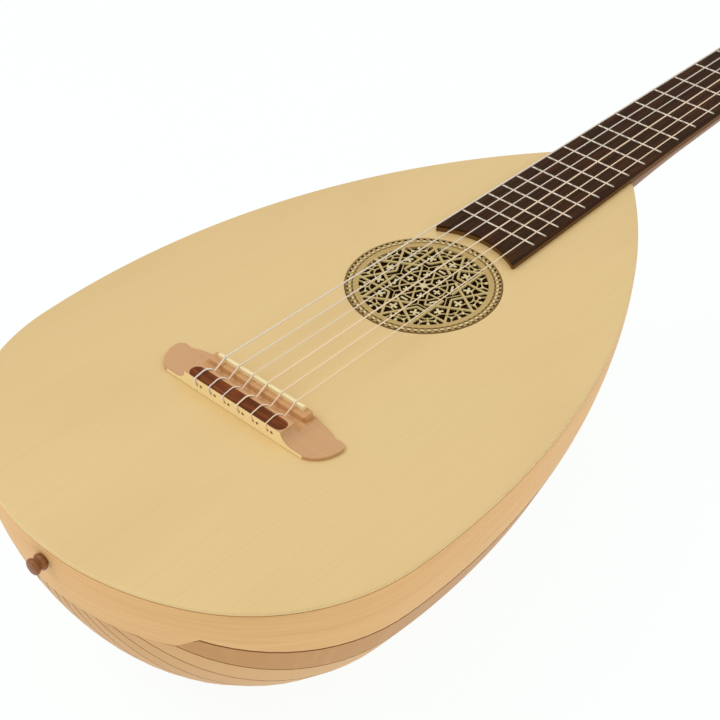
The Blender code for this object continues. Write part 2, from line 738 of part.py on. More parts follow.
def make_fingerboard():
    end_half = fingerboard_half(ROSE_Y)
    reach = degrees(asin(end_half / FINGERBOARD_END_RADIUS))
    end = arc((0, ROSE_Y), FINGERBOARD_END_RADIUS, 90 + reach, 90 - reach, 10)
    nut_half = fingerboard_half(SCALE_LENGTH)
    outline = end + [(nut_half, SCALE_LENGTH), (-nut_half, SCALE_LENGTH)]
    thickness = FINGERBOARD_TOP - GAP
    board = link(
        "fingerboard",
        plate("fingerboard", [outline], thickness),
        FINISH["rosewood"],
        DESIGN,
        Matrix.Translation((0, 0, GAP + thickness / 2)),
    )
    for number in range(1, BODY_FRET + FRETS_ON_BODY + 1):
        place = Matrix.Translation((0, fret_y(number), FINGERBOARD_TOP))
        join(board, fret_bar(number), place @ ALONG_X)


def string_height(y, radius):
    """Height of a string's middle between the saddle and the nut."""
    share = y / SCALE_LENGTH
    return (SADDLE_TOP + GAP) * (1 - share) + NUT_REST * share + radius


def make_nut():
    half = fingerboard_half(SCALE_LENGTH)
    low = (-half, SCALE_LENGTH + GAP, GAP)
    nut = link("nut", block("nut", low, (half, NUT_BACK_Y, NUT_TOP)), FINISH["bone"], DESIGN)
    for number, radius in enumerate(STRING_RADII, 1):
        x = string_x(number, NUT_SPACING)
        reach = radius + GAP
        start = (x - reach, SCALE_LENGTH - 0.001, NUT_REST - GAP)
        cut(nut, block(f"nut_slot_{number}", start, (x + reach, NUT_BACK_Y + 0.001, NUT_TOP + 0.001)))


def neck_depth(y):
    """Depth of the neck below the soundboard's plane: an even taper that swells into the heel."""
    taper = (SCALE_LENGTH - y) / (SCALE_LENGTH - NECK_JOINT_Y)
    even = NECK_DEPTH_AT_NUT + 0.004 * taper
    into_heel = max(0.0, 1 - (y - NECK_JOINT_Y) / HEEL_LENGTH)
    return even + (NECK_DEPTH_AT_BODY - even) * into_heel**2


def rounded_v(share):
    """Narrows a half round towards a V, and keeps its width at the top."""
    return copysign(abs(share) ** NECK_SHARPNESS, share)


def make_neck():
    places = list(np.linspace(NECK_JOINT_Y + GAP, NECK_JOINT_Y + HEEL_LENGTH, 6))
    places += list(np.linspace(NECK_JOINT_Y + HEEL_LENGTH, NUT_BACK_Y, 4)[1:])
    rings = []
    for y in places:
        half, depth = fingerboard_half(y), neck_depth(y)
        sweep = [radians(180 * step / NECK_SEGMENTS) for step in range(NECK_SEGMENTS + 1)]
        rings.append([Vector((half * rounded_v(cos(a)), y, -depth * sin(a))) for a in sweep])
    link("neck", lofted("neck", rings), FINISH["neck"], DESIGN)


def head_outline():
    """Half of the head's face: a root as wide as the neck, a flare, and a crest with round corners."""
    wide = HEAD_HALF_WIDTH
    corner = 0.014
    crest = 0.006
    flare = [(HEAD_ROOT_HALF + (wide - HEAD_ROOT_HALF) * s, 0.006 + 0.020 * t) for t, s in
             ((0, 0), (0.3, 0.12), (0.6, 0.6), (0.85, 0.93), (1, 1))]
    tip = arc((wide - corner, HEAD_LENGTH - crest - corner), corner, 0, 80, 5)
    return [(HEAD_ROOT_HALF, -0.012), *flare, *tip, (0.006, HEAD_LENGTH)]


def slot_outline(side):
    middle = side * (SLOT_INNER + SLOT_OUTER) / 2
    radius = (SLOT_OUTER - SLOT_INNER) / 2
    top = arc((middle, SLOT_END - radius), radius, 0, 180, 8)
    return top + arc((middle, SLOT_START + radius), radius, 180, 360, 8)


def make_headstock():
    solid = plate("headstock", [mirrored(head_outline())], HEAD_THICKNESS)
    head = link(
        "headstock", solid, FINISH["neck"], HEAD, Matrix.Translation((0, 0, -HEAD_THICKNESS / 2))
    )
    behind_nut = block("head_root_trim", (-0.05, HEAD_Y - 0.05, -0.06), (0.05, HEAD_Y, 0.03))
    cut(head, behind_nut, HEAD.matrix_local.inverted())
    for side, word in ((-1, "bass"), (1, "treble")):
        slot = plate(f"{word}_slot", [slot_outline(side)], HEAD_THICKNESS + 0.01)
        cut(head, slot, Matrix.Translation((0, 0, -HEAD_THICKNESS / 2)))
        cut(head, ramp(f"{word}_ramp", side))
        for place in TUNER_PLACES:
            start = (side * (ROLLER_INNER_END - 2 * GAP), place, -AXIS_DEPTH)
            end = (side * (HEAD_HALF_WIDTH + 0.01), place, -AXIS_DEPTH)
            cut(head, rod(f"{word}_roller_hole", ROLLER_HOLE_RADIUS, start, end, 14))


def ramp(name, side):
    """The wedge that lets a string down into its slot."""
    inner, outer = SLOT_INNER + 0.0008, SLOT_OUTER - 0.0008
    depth_end = SLOT_START + 0.008
    section = ((RAMP_START, 0.001), (depth_end, 0.001), (depth_end, -RAMP_DEPTH), (RAMP_START, -GAP))
    rings = [[Vector((side * x, y, z)) for y, z in section] for x in (inner, outer)]
    return lofted(name, rings)


def tooth(middle, half_angles, radii):
    """Corners of one gear tooth, from root to tip and back."""
    places = ((-half_angles[0], radii[0]), (-half_angles[1], radii[1]))
    places += ((half_angles[1], radii[1]), (half_angles[0], radii[0]))
    return [(middle + turn, radius) for turn, radius in places]


def gear_mesh():
    """A wheel whose teeth lean with the worm's thread. A gap faces local +Y when it isn't turned."""
    pitch = 2 * pi / GEAR_TEETH
    radii = (GEAR_PITCH_RADIUS - 1.2 * GEAR_MODULE, GEAR_PITCH_RADIUS + GEAR_MODULE)
    lean = WORM_LEAD / (2 * pi * WORM_PITCH_RADIUS) / GEAR_PITCH_RADIUS
    corners = []
    for number in range(GEAR_TEETH):
        corners += tooth((number + 0.5) * pitch, (pitch * 0.30, pitch * 0.13), radii)
    rings = []
    for x in (-GEAR_WIDTH / 2, GEAR_WIDTH / 2):
        turn = lean * x
        rings.append([Vector((GEAR_X + x, r * cos(a + turn), r * sin(a + turn))) for a, r in corners])
    return lofted("gear_wheel", rings)


def roller_mesh():
    """A string roller and its gear wheel, turned about X from the middle of the head."""
    face = GEAR_X + GEAR_WIDTH / 2
    profile = [
        (0, face + GEAR_SCREW_HEIGHT),
        (GEAR_SCREW_RADIUS, face + GEAR_SCREW_HEIGHT),
        (GEAR_SCREW_RADIUS, GEAR_X),
        (ROLLER_NECK_RADIUS, GEAR_X),
        (ROLLER_NECK_RADIUS, HEAD_HALF_WIDTH - GAP),
        (ROLLER_RADIUS, HEAD_HALF_WIDTH - GAP),
        (ROLLER_RADIUS, ROLLER_INNER_END),
        (0, ROLLER_INNER_END),
    ]
    core = link("roller_core", turned("roller_core", profile, 12), None, None, Matrix(), CUTTERS)
    lie_along_x(core.data)
    join(core, gear_mesh())
    return baked_mesh(core)


def lie_along_x(mesh):
    mesh.transform(Matrix.Rotation(radians(90), 4, "Y"))


def thread_mesh():
    """The worm's thread as a ridge wound on its shaft. Its crest passes local -Y at the middle."""
    root, crest = SHAFT_RADIUS - GEAR_MODULE / 3, WORM_PITCH_RADIUS + GEAR_MODULE
    root_half, crest_half = GEAR_MODULE * 0.92, GEAR_MODULE * 0.26
    steps = WORM_TURNS * WORM_STEPS
    rings = []
    for step in range(-steps // 2, steps // 2 + 1):
        angle = 2 * pi * step / WORM_STEPS - pi / 2
        height = WORM_LEAD * step / WORM_STEPS
        near_end = steps // 2 - abs(step)
        outer = crest if near_end >= 2 else root + (crest - root) * (0.45 + 0.25 * near_end)
        section = ((root, -root_half), (outer, -crest_half), (outer, crest_half), (root, root_half))
        rings.append([Vector((r * cos(angle), r * sin(angle), height + z)) for r, z in section])
    return lofted("worm_thread", rings)


def worm_mesh():
    """A worm and its shaft, from the head above the upper tab to the end in the knob."""
    profile = [
        (0, SHAFT_TOP),
        (SHAFT_HEAD_RADIUS, SHAFT_TOP),
        (SHAFT_HEAD_RADIUS, TAB_REACH + TAB_THICKNESS + GAP),
        (SHAFT_RADIUS, TAB_REACH + TAB_THICKNESS + GAP),
        (SHAFT_RADIUS, SHAFT_END),
        (0, SHAFT_END),
    ]
    core = link("worm_core", turned("worm_core", profile, WORM_STEPS), None, None, Matrix(), CUTTERS)
    join(core, thread_mesh())
    return baked_mesh(core)


def knob_mesh():
    """An oval knob with a socket for its shaft."""
    rings = []
    for long_half, short_half, height in KNOB_RINGS:
        angles = [2 * pi * i / 14 for i in range(14)]
        z = BUTTON_TOP + height
        rings.append([Vector((short_half * cos(a), long_half * sin(a), z)) for a in angles])
    knob = link("knob", lofted("knob", rings), None, None, Matrix(), CUTTERS)
    start = (0, 0, BUTTON_TOP + 0.002)
    end = (0, 0, BUTTON_TOP - KNOB_SOCKET_DEPTH)
    cut(knob, rod("knob_socket", KNOB_SOCKET_RADIUS, start, end, 10))
    return baked_mesh(knob)


def plate_mesh():
    """A treble-side tuner plate with a pair of holed tabs for each worm."""
    half = PLATE_LENGTH / 2
    middle = sum(TUNER_PLACES) / len(TUNER_PLACES) + WORM_OFFSET / 2
    edge = mirrored([(half, -PLATE_HEIGHT / 2), (half, PLATE_HEIGHT / 2)])
    holes = [circle((place - middle, 0), PLATE_HOLE_RADIUS, 10) for place in TUNER_PLACES]
    flat = plate("tuner_plate", [edge, *holes], PLATE_THICKNESS)
    flat.transform(Matrix.Translation((PLATE_X + PLATE_THICKNESS / 2, middle, 0)) @ ALONG_X)
    base = link("plate_base", flat, None, None, Matrix(), CUTTERS)
    reach = GEAR_X - PLATE_X
    outline = [(0.0006, -TAB_HALF_WIDTH), (reach, -TAB_HALF_WIDTH)]
    outline += arc((reach, 0), TAB_HALF_WIDTH, -45, 45, 2)
    outline += [(reach, TAB_HALF_WIDTH), (0.0006, TAB_HALF_WIDTH)]
    for place in TUNER_PLACES:
        for z in (-TAB_REACH - TAB_THICKNESS / 2, TAB_REACH + TAB_THICKNESS / 2):
            tab = plate("worm_tab", [outline, circle((reach, 0), TAB_HOLE_RADIUS, 8)], TAB_THICKNESS)
            join(base, tab, Matrix.Translation((PLATE_X, place + WORM_OFFSET, z)))
    return baked_mesh(base)


def make_tuners():
    roller, worm, knob, side_plate = roller_mesh(), worm_mesh(), knob_mesh(), plate_mesh()
    half_turn = Matrix.Rotation(pi, 4, "Z")
    mirror_plate = side_plate.copy()
    mirror_plate.transform(Matrix.Scale(-1, 4, (1, 0, 0)))
    mirror_plate.flip_normals()
    level = Matrix.Translation((0, 0, -AXIS_DEPTH))
    link("tuner_plate_treble", side_plate, FINISH["plate"], HEAD, level)
    link("tuner_plate_bass", mirror_plate, FINISH["plate"], HEAD, level)
    for side, word in ((-1, "bass"), (1, "treble")):
        for number, place in enumerate(TUNER_PLACES, 1):
            tag = f"{word}_{number}"
            axle = Matrix.Translation((0, place, -AXIS_DEPTH))
            turn = Matrix() if side > 0 else half_turn
            link(f"roller_{tag}", roller, FINISH["roller"], HEAD, axle @ turn)
            stem = Matrix.Translation((side * GEAR_X, place + WORM_OFFSET, -AXIS_DEPTH))
            frame = new_empty(f"worm_axis_{tag}", stem, HEAD)
            link(f"worm_{tag}", worm, FINISH["steel"], frame)
            link(f"knob_{tag}", knob, FINISH["knob"], frame)


def string_route(number, radius):
    """Points from the loose end of the tie, over the saddle and the nut, to the string's roller."""
    x = string_x(number, SADDLE_SPACING)
    nut_x = string_x(number, NUT_SPACING)
    over = BRIDGE_BLOCK_TOP + GAP + radius
    behind = BRIDGE_TAIL_Y - GAP - radius
    saddle_z = string_height(0, radius)
    nut_z = string_height(SCALE_LENGTH, radius)
    route = [
        (x - 0.0030, CHANNEL_BACK_Y + 0.0012, over - 0.0012),
        (x - 0.0028, CHANNEL_BACK_Y + 0.0004, over),
        (x - 0.0020, inlay_y(), over),
        (x - 0.0002, behind + 0.0004, over),
        (x, behind, over - 0.0006),
        (x, behind, TIE_HOLE_HEIGHT + 0.0004),
        (x, BRIDGE_TAIL_Y + 0.0010, TIE_HOLE_HEIGHT),
        (x, CHANNEL_BACK_Y - 0.0002, TIE_HOLE_HEIGHT),
        (x, -SADDLE_WIDTH / 2, saddle_z),
        (x, SADDLE_WIDTH / 2, saddle_z),
        (nut_x, SCALE_LENGTH, nut_z),
        (nut_x, NUT_BACK_Y, nut_z),
    ]
    order = (number if number < 4 else 7 - number) - 1
    side = 1 if number < 4 else -1
    landing_x = side * (0.0200, 0.0170, 0.0142)[order]
    place = TUNER_PLACES[order]
    top = -AXIS_DEPTH + ROLLER_RADIUS + GAP + radius
    ends = [(landing_x, place - 0.003, top + 0.0004), (landing_x, place, top + 0.0001)]
    route += [tuple(HEAD.matrix_local @ Vector(end)) for end in ends]
    return route


def make_strings():
    for number, radius in enumerate(STRING_RADII, 1):
        name = f"string_{number}"
        wire = bpy.data.curves.new(name, "CURVE")
        wire.dimensions = "3D"
        wire.bevel_depth = radius
        wire.bevel_resolution = 2
        wire.use_fill_caps = True
        route = string_route(number, radius)
        spline = wire.splines.new("POLY")
        spline.points.add(len(route) - 1)
        for point, place in zip(spline.points, route):
            point.co = (*place, 1)
        wire.materials.append(FINISH["wound" if number > 3 else "nylon"])
        made = bpy.data.objects.new(name, wire)
        PARTS.objects.link(made)
        made.parent = DESIGN


def design_frame():
    """Lifts the bowl's lowest line to the floor and puts the object's middle over the origin."""
    tail_end = TAIL_Y - BUTTON_LENGTH
    tilt = radians(HEAD_TILT)
    head_end = HEAD_Y + HEAD_LENGTH * cos(tilt)
    return Matrix.Translation((0, -(tail_end + head_end) / 2, BOWL_DEPTH))


clear_scene()
PARTS = new_collection("lute_guitar")
CUTTERS = new_collection("cutters", hidden=True)
FINISH = make_finishes()
DESIGN = new_empty("saddle_frame", design_frame())
HEAD = new_empty(
    "head_frame",
    Matrix.Translation((0, HEAD_Y, HEAD_FACE_Z)) @ Matrix.Rotation(radians(-HEAD_TILT), 4, "X"),
    DESIGN,
)
make_soundboard()
make_rosette()
make_clasp()
make_ribs()
make_blocks()
make_bars()
make_end_button()
make_bridge()
make_inlay_and_saddle()
make_fingerboard()
make_nut()
make_neck()
make_headstock()
make_tuners()
make_strings()
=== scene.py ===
"""The lute guitar's looks: fine wooden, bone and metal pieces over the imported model, in soft studio light.

The design frame is the model's own: its origin is on the soundboard under the saddle, +X is the treble
side, +Y runs up the neck and +Z up from the soundboard. Lengths are metres and angles degrees, unless a
name says otherwise. The head's frame is tilted back behind the nut, with X and Y in its face.
"""

from math import asin, atan2, copysign, cos, degrees, hypot, pi, radians, sin, sqrt, tan

import bmesh
import bpy
import numpy as np
from mathutils import Matrix, Vector


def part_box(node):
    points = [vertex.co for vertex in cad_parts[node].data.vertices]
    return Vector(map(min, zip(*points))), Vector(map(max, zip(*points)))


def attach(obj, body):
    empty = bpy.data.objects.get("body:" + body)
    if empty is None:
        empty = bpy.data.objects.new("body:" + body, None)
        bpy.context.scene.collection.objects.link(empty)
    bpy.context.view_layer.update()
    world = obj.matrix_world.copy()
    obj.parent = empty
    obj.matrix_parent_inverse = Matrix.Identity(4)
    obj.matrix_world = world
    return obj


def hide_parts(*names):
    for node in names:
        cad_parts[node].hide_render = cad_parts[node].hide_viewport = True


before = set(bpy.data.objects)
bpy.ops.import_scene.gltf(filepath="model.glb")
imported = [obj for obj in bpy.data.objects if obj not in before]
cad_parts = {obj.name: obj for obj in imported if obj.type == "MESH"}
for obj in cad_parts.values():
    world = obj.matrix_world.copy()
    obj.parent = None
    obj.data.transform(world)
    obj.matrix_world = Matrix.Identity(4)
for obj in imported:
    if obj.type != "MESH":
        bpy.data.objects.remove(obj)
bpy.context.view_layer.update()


def shift(x, y, z):
    return Matrix.Translation((x, y, z))


def spin(angle, axis):
    return Matrix.Rotation(radians(angle), 4, axis)


# Frames
TAIL_Y = -0.1583
BOARD_LOW, BOARD_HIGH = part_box("soundboard")
DESIGN = shift(0, BOARD_LOW.y - TAIL_Y, BOARD_HIGH.z)
HEAD_Y = 0.6553
HEAD_FACE_Z = 0.0020
HEAD_TILT = 13.0
HEAD = DESIGN @ shift(0, HEAD_Y, HEAD_FACE_Z) @ spin(-HEAD_TILT, "X")
ALONG_X = Matrix(((0, 0, 1, 0), (1, 0, 0, 0), (0, 1, 0, 0), (0, 0, 0, 1)))
UPRIGHT = spin(90, "X")

# Strings and frets
SCALE_LENGTH = 0.650
NECK_JOINT_Y = SCALE_LENGTH / 2
FRET_COUNT = 19
STRING_RADII = (0.00036, 0.00041, 0.00051, 0.00038, 0.00044, 0.00055)
STRING_FINISHES = ("nylon", "nylon", "nylon", "wound", "wound", "wound")
SADDLE_SPACING = 0.01145
NUT_SPACING = 0.0083
SADDLE_TOP = 0.0110
NUT_REST = 0.0066
TOUCH = 0.0001
STRING_GAP = 0.0001
TIE_STEPS = 8

# Body: the soundboard's half outline is tangent arcs from the tail, each a radius and a turn
OUTLINE_ARCS = ((0.1859, 28.9), (0.1234, 56.6), (0.4876, 49.0))
ARC_STEPS = 160
BOARD_THICKNESS = 0.0026
BOARD_EDGE = 0.0010
BOARD_INSET = 0.00004
BOARD_STEPS = 170
RIB_THICKNESS = 0.0018
RIB_COUNT = 15
EDGE_RIB_ANGLE = 16.4
RIB_ANGLE = (180 - 2 * EDGE_RIB_ANGLE) / RIB_COUNT
RIB_STATIONS = 56
JOINT_WIDTH = 0.0006
RIM_JOINT_WIDTH = 0.0009
JOINT_SINK = 0.00012
JOINT_FOOT = 0.0012
JOINT_SPREAD = 0.6
JOINT_END_GAP = 0.0002
EASED_DEPTH = 0.00022
EASED_SLOPE = 0.00008
EDGE_ROWS = (
    (0.0, EASED_DEPTH), (0.02, EASED_SLOPE), (0.06, 0.0), (0.25, 0.0), (0.5, 0.0),
    (0.75, 0.0), (0.94, 0.0), (0.98, EASED_SLOPE), (1.0, EASED_DEPTH),
)
RIM_Z = -(BOARD_THICKNESS + 0.0003)
WELD = 1e-6

# Clasp round the tail, seen from behind: half widths and depths of its corners
CLASP_RIM_HALF = 0.1186
CLASP_LOWER_HALF = 0.0758
CLASP_MIDDLE_DEPTH = 0.0420
CLASP_END_DEPTH = CLASP_LOWER_HALF * tan(radians(EDGE_RIB_ANGLE + RIB_ANGLE))
CLASP_SEAM = 0.0001
CLASP_COLUMNS = 96
CLASP_ROWS = 12

# Rosette
ROSE_Y = 0.1433
ROSE_RADIUS = 0.0494
ROSE_HOLE_GAP = 0.0002
ROSE_HOLE_SIDES = 144
ROSE_BORDER_SIDES = 180
ROPE_RADIUS = 0.0464
ROPE_STRANDS = 72

# The rosette in millimetres from its middle: each strap's ends, half its width and how deep its top lies
SIDE_STRAPS = (
    ((19.7, 4.4), (19.7, 36.0), 0.80, 0.20),
    ((11.4, 19.7), (36.0, 19.7), 0.75, 0.50),
    ((2.2, 4.45), (19.2, 4.45), 0.55, 0.80),
    ((9.5, 16.5), (19.0, 16.5), 0.38, 1.10),
)
AXIS_STRAPS = (((15.2, 0.0), (19.0, 0.0), 0.40, 1.00),)
STAR_CROSS = (((8.4, 0.0), (13.6, 0.0), 0.65, 0.90), ((11.0, -2.2), (11.0, 2.2), 0.60, 0.95))
CELL_CROSS = (((25.3, 0.0), (31.0, 0.0), 0.75, 0.70), ((28.4, -2.9), (28.4, 2.9), 0.75, 0.75))
LEAF = ((18.2, -2.6), (18.2, 2.6), 0.70, 0.85)
RAY = ((0.0, 0.0), (5.0, 0.0), 0.50, 0.90)
STRAP_FOOT = -2.4
STRAP_CHAMFER = 0.16
STRAP_LAYER = 0.02

# Rings, stems and knobs: distances from the middle, and angles from a stem
STAR_RING = 15.2
STAR_RING_STRAP = (0.50, 1.00)
WAVE_RING = 32.5
WAVE_DEPTH = 1.7
WAVE_STRAP = (0.42, 0.90)
RIM_STEM = (33.5, 41.0)
STEM_STRAP = (0.48, 0.62)
RIM_BLOB = 39.5
SIDE_BLOB = (37.0, 6.6)
SCROLLS = (
    (((41.2, 9.7), SIDE_BLOB, (36.4, 0.0)), 0.42, 0.66),
    ((SIDE_BLOB, (33.6, 10.5)), 0.42, 0.72),
)
BORDER_PROFILE = (
    (0.0408, -0.0005), (0.0410, -0.0003), (0.0428, -0.0003), (0.0431, 0.0), (0.0440, 0.0),
    (0.0444, -0.0003), (0.0447, -0.0004), (0.0480, -0.0004), (0.0484, -0.0002), (0.0487, 0.0),
    (0.0492, 0.0), (0.0494, -0.0001), (0.0494, -0.0024), (0.0408, -0.0024),
)
BEAD_SIZE = (0.00145, 0.00080, 0.00055)
BEAD_LEAN = 75
BEAD_Z = -0.00035
BOSS_SIZE = (0.0029, 0.0029, 0.0014)
BOSS_Z = -0.0021
BLOB_HEIGHT = 0.0008
BLOB_Z = -0.0012
RIM_BLOB_RADIUS = 1.2
SIDE_BLOB_RADIUS = 1.1

# Bridge
BRIDGE_PLATE = 0.0019
BRIDGE_FOOT = 0.0003
BRIDGE_FRONT_Y = 0.0050
BRIDGE_TAIL_Y = -0.0223
BRIDGE_BLOCK_HALF = 0.0387
BRIDGE_SWEEP_END = 0.0470
BRIDGE_REACH = 0.0750
BRIDGE_BLOCK_TOP = 0.0090
SADDLE_RIDGE_TOP = 0.0080
RIDGE_END = 0.0396
RIDGE_CORNER = 0.0028
LOBE_MIDDLE = (0.0628, -0.0040)
LOBE_RADIUS = 0.0052
CHANNEL_FLOOR = 0.0040
CHANNEL_BACK_Y = -0.0104
CHANNEL_FRONT_Y = -0.0036
SADDLE_LENGTH = 0.0692
SADDLE_WIDTH = 0.0030
SADDLE_Y = 0.0018
SADDLE_SEAT = 0.0045
INLAY_LENGTH = 0.0760
INLAY_WIDTH = 0.0090
INLAY_SEAT = 0.0075
INLAY_Y = -0.01705
TIE_HOLE_HEIGHT = 0.0054
TIE_HOLE_RADIUS = 0.0011
SECOND_HOLE_OFFSET = 0.0034

# Neck and fingerboard
BOARD_HALF_AT_NUT = 0.0235
BOARD_HALF_AT_BODY = 0.0298
FINGERBOARD_TOP = 0.0050
FINGERBOARD_FOOT = 0.0003
FINGERBOARD_END_RADIUS = 0.0580
FINGERBOARD_CORNER_TURN = 2.2
FRET_HEIGHT = 0.0010
FRET_WIDTH = 0.0017
FRET_INSET = 0.0001
FRET_SINK = 0.00005
FRET_ENDS = ((1.0, 0.15), (0.995, 0.45), (0.985, 0.75), (0.97, 0.93), (0.94, 1.0))
CHAMFER = 0.0018
NUT_THICKNESS = 0.0050
NUT_TOP = 0.0074
NUT_CORNER = 0.0016
NUT_BACK_Y = SCALE_LENGTH + NUT_THICKNESS
NECK_DEPTH_AT_NUT = 0.0170
NECK_DEPTH_AT_BODY = 0.0300
NECK_TAPER = 0.004
NECK_STATIONS = 48
HEEL_LENGTH = 0.070
NECK_SHARPNESS = 1.6

# Head, in its own frame
HEAD_THICKNESS = 0.019
HEAD_LENGTH = 0.190
HEAD_HALF_WIDTH = 0.031
HEAD_ROOT_HALF = 0.0245
HEAD_CORNER = 0.014
HEAD_CREST = 0.006
FLARE_START = 0.006
FLARE_LENGTH = 0.020
SLOT_INNER = 0.0085
SLOT_OUTER = 0.0235
SLOT_START = 0.038
SLOT_END = 0.142
RAMP_START = 0.018
RAMP_DEPTH = 0.0055

# Tuners, in the head's frame
TUNER_PLACES = (0.055, 0.090, 0.125)
AXIS_DEPTH = HEAD_THICKNESS / 2
ROLLER_RADIUS = 0.0050
ROLLER_INNER_END = 0.0036
ROLLER_HOLE_RADIUS = 0.00548
ROLLER_NECK_RADIUS = 0.0030
ROLLER_GROOVE = 0.0003
ROLLER_CHAMFER = 0.0004
ROLLER_END = HEAD_HALF_WIDTH - 0.0003
STRING_LANDINGS = (0.0200, 0.0170, 0.0142)
WINDING_TURNS = 3.6
WINDING_STEPS = 28
PLATE_X = HEAD_HALF_WIDTH + 0.0003
PLATE_THICKNESS = 0.0012
PLATE_LENGTH = 0.112
PLATE_HEIGHT = 0.0130
PLATE_HOLE_RADIUS = 0.0036
PLATE_CORNER = 0.003
PLATE_SCREWS = (-0.0525, -0.0205, 0.0145, 0.0525)
GEAR_TEETH = 14
GEAR_MODULE = 0.00075
GEAR_WIDTH = 0.0024
WORM_PITCH_RADIUS = 0.00225
GEAR_X = PLATE_X + PLATE_THICKNESS + 0.0003 + WORM_PITCH_RADIUS + GEAR_MODULE
GEAR_PITCH_RADIUS = GEAR_MODULE * GEAR_TEETH / 2
WORM_OFFSET = GEAR_PITCH_RADIUS + WORM_PITCH_RADIUS + 0.00015
WORM_LEAD = pi * GEAR_MODULE
WORM_TURNS = 2
WORM_STEPS = 32
SHAFT_RADIUS = 0.0014
SHAFT_HEAD_RADIUS = 0.0022
TAB_REACH = 0.0044
TAB_THICKNESS = 0.0012
TAB_HALF_WIDTH = 0.0031
TAB_START = 0.0008
TAB_HOLE_RADIUS = 0.0016
SHAFT_TOP = 0.0068
SHAFT_END = -0.0172
KNOB_TOP = -0.0122
KNOB_SECTIONS = (
    (0.0031, 0.0031, 0.0), (0.0034, 0.0034, -0.0006), (0.0030, 0.0030, -0.0016),
    (0.0036, 0.0033, -0.0024), (0.0056, 0.0042, -0.0034), (0.0072, 0.0051, -0.0052),
    (0.0080, 0.0057, -0.0078), (0.0079, 0.0056, -0.0100), (0.0070, 0.0049, -0.0122),
    (0.0052, 0.0036, -0.0136), (0.0026, 0.0018, -0.0142),
)
SCREW_PROFILE = (
    (0, 0.0007), (0.0009, 0.00062), (0.0015, 0.00035), (0.0017, 0.0),
    (0.0017, -0.0003), (0, -0.0003),
)

# End button
BUTTON_DEPTH = 0.012
BUTTON_PEG_RADIUS = 0.0030
BUTTON_DISC_RADIUS = 0.0050
BUTTON_WAIST_RADIUS = 0.0036
BUTTON_LENGTH = 0.0086

# Studio and camera
FLOOR_HALF = 60
FLOOR_GLOW = 0.93
SKY_STRENGTH = 0.68
LAMPS = (
    ("key", (-1.1, -1.3, 2.2), 1.6, 20.0),
    ("fill", (1.6, 0.6, 1.8), 2.0, 6.0),
)
LENS = 76.40
SENSOR_WIDTH = 36.0
CAMERA_PLACE = (0.49221, -0.44510, 0.57601)
CAMERA_TURN = (50.218, 0.240, 42.709)


# Lines and curves


def trace_side():
    """Dense points (half width, y) up one side of the body, from the tail to just past the neck joint."""
    x, y, heading = 0.0, TAIL_Y, 0.0
    points = [(x, y)]
    for radius, turn in OUTLINE_ARCS:
        middle_x = x - radius * sin(heading)
        middle_y = y + radius * cos(heading)
        for step in range(1, ARC_STEPS + 1):
            angle = heading + radians(turn) * step / ARC_STEPS
            points.append((middle_x + radius * sin(angle), middle_y - radius * cos(angle)))
        x, y = points[-1]
        heading += radians(turn)
    return np.array(points)


SIDE = trace_side()
ALONG = np.concatenate([[0], np.cumsum(np.hypot(*np.diff(SIDE, axis=0).T))])
TANGENT = np.gradient(SIDE, ALONG, axis=0)
INWARD = np.column_stack([-TANGENT[:, 1], TANGENT[:, 0]])
SIDE_LENGTH = float(np.interp(NECK_JOINT_Y, SIDE[:, 1], ALONG))
WIDEST_STEP = int(SIDE[:, 0].argmax())


def side_point(along, inset=0.0):
    """(Half width, y) at a distance along the side from the tail, moved in from the surface by inset."""
    return tuple(
        float(np.interp(along, ALONG, SIDE[:, axis]) + inset * np.interp(along, ALONG, INWARD[:, axis]))
        for axis in (0, 1)
    )


def along_at_half_width(half_width):
    return float(np.interp(half_width, SIDE[: WIDEST_STEP + 1, 0], ALONG[: WIDEST_STEP + 1]))


def bowl_point(along, angle, inset=0.0):
    """Point of the bowl, a half turn of the side about the Y axis. Angle 0 is the treble rim."""
    half_width, y = side_point(along, inset)
    return Vector((half_width * cos(radians(angle)), y, -half_width * sin(radians(angle))))


def flat_rib_point(along, low, high, across, inset=0.0):
    """Point of a rib's flat face, across from 0 at its low edge to 1 at its high edge."""
    start, end = bowl_point(along, low, inset), bowl_point(along, high, inset)
    return start.lerp(end, across)


def fingerboard_half(y):
    slope = (BOARD_HALF_AT_BODY - BOARD_HALF_AT_NUT) / (SCALE_LENGTH - NECK_JOINT_Y)
    return BOARD_HALF_AT_NUT + slope * (SCALE_LENGTH - y)


def string_x(number, spacing):
    """String 1 is on the treble side."""
    return spacing * (3.5 - number)


def arc(centre, radius, start, end, steps):
    """Points on a circle from one angle to another, both included."""
    angles = [radians(start + (end - start) * step / steps) for step in range(steps + 1)]
    return [(centre[0] + radius * cos(angle), centre[1] + radius * sin(angle)) for angle in angles]


def circle(centre, radius, sides):
    return arc(centre, radius, 0, 360 * (sides - 1) / sides, sides - 1)


def mirrored(half):
    """A closed outline from its half at +X, whose ends aren't on the middle line."""
    return half + [(-x, y) for x, y in reversed(half)]


def smooth_route(corners, share):
    """Points on an even curve through the corners, with this many steps for each stretch."""
    corners = [Vector(corner) for corner in corners]
    ends = [2 * corners[0] - corners[1], *corners, 2 * corners[-1] - corners[-2]]
    points = []
    for before, start, end, after in zip(ends, ends[1:], ends[2:], ends[3:]):
        for step in range(share):
            t = step / share
            pull = -before + 3 * start - 3 * end + after
            bend = 2 * before - 5 * start + 4 * end - after
            points.append(0.5 * (2 * start + t * (end - before + t * (bend + t * pull))))
    return [*points, corners[-1]]


# Meshes


def mesh_from(shape):
    """The mesh of a bmesh, its faces turned outward."""
    bmesh.ops.recalc_face_normals(shape, faces=shape.faces)
    mesh = bpy.data.meshes.new("mesh")
    shape.to_mesh(mesh)
    shape.free()
    return mesh


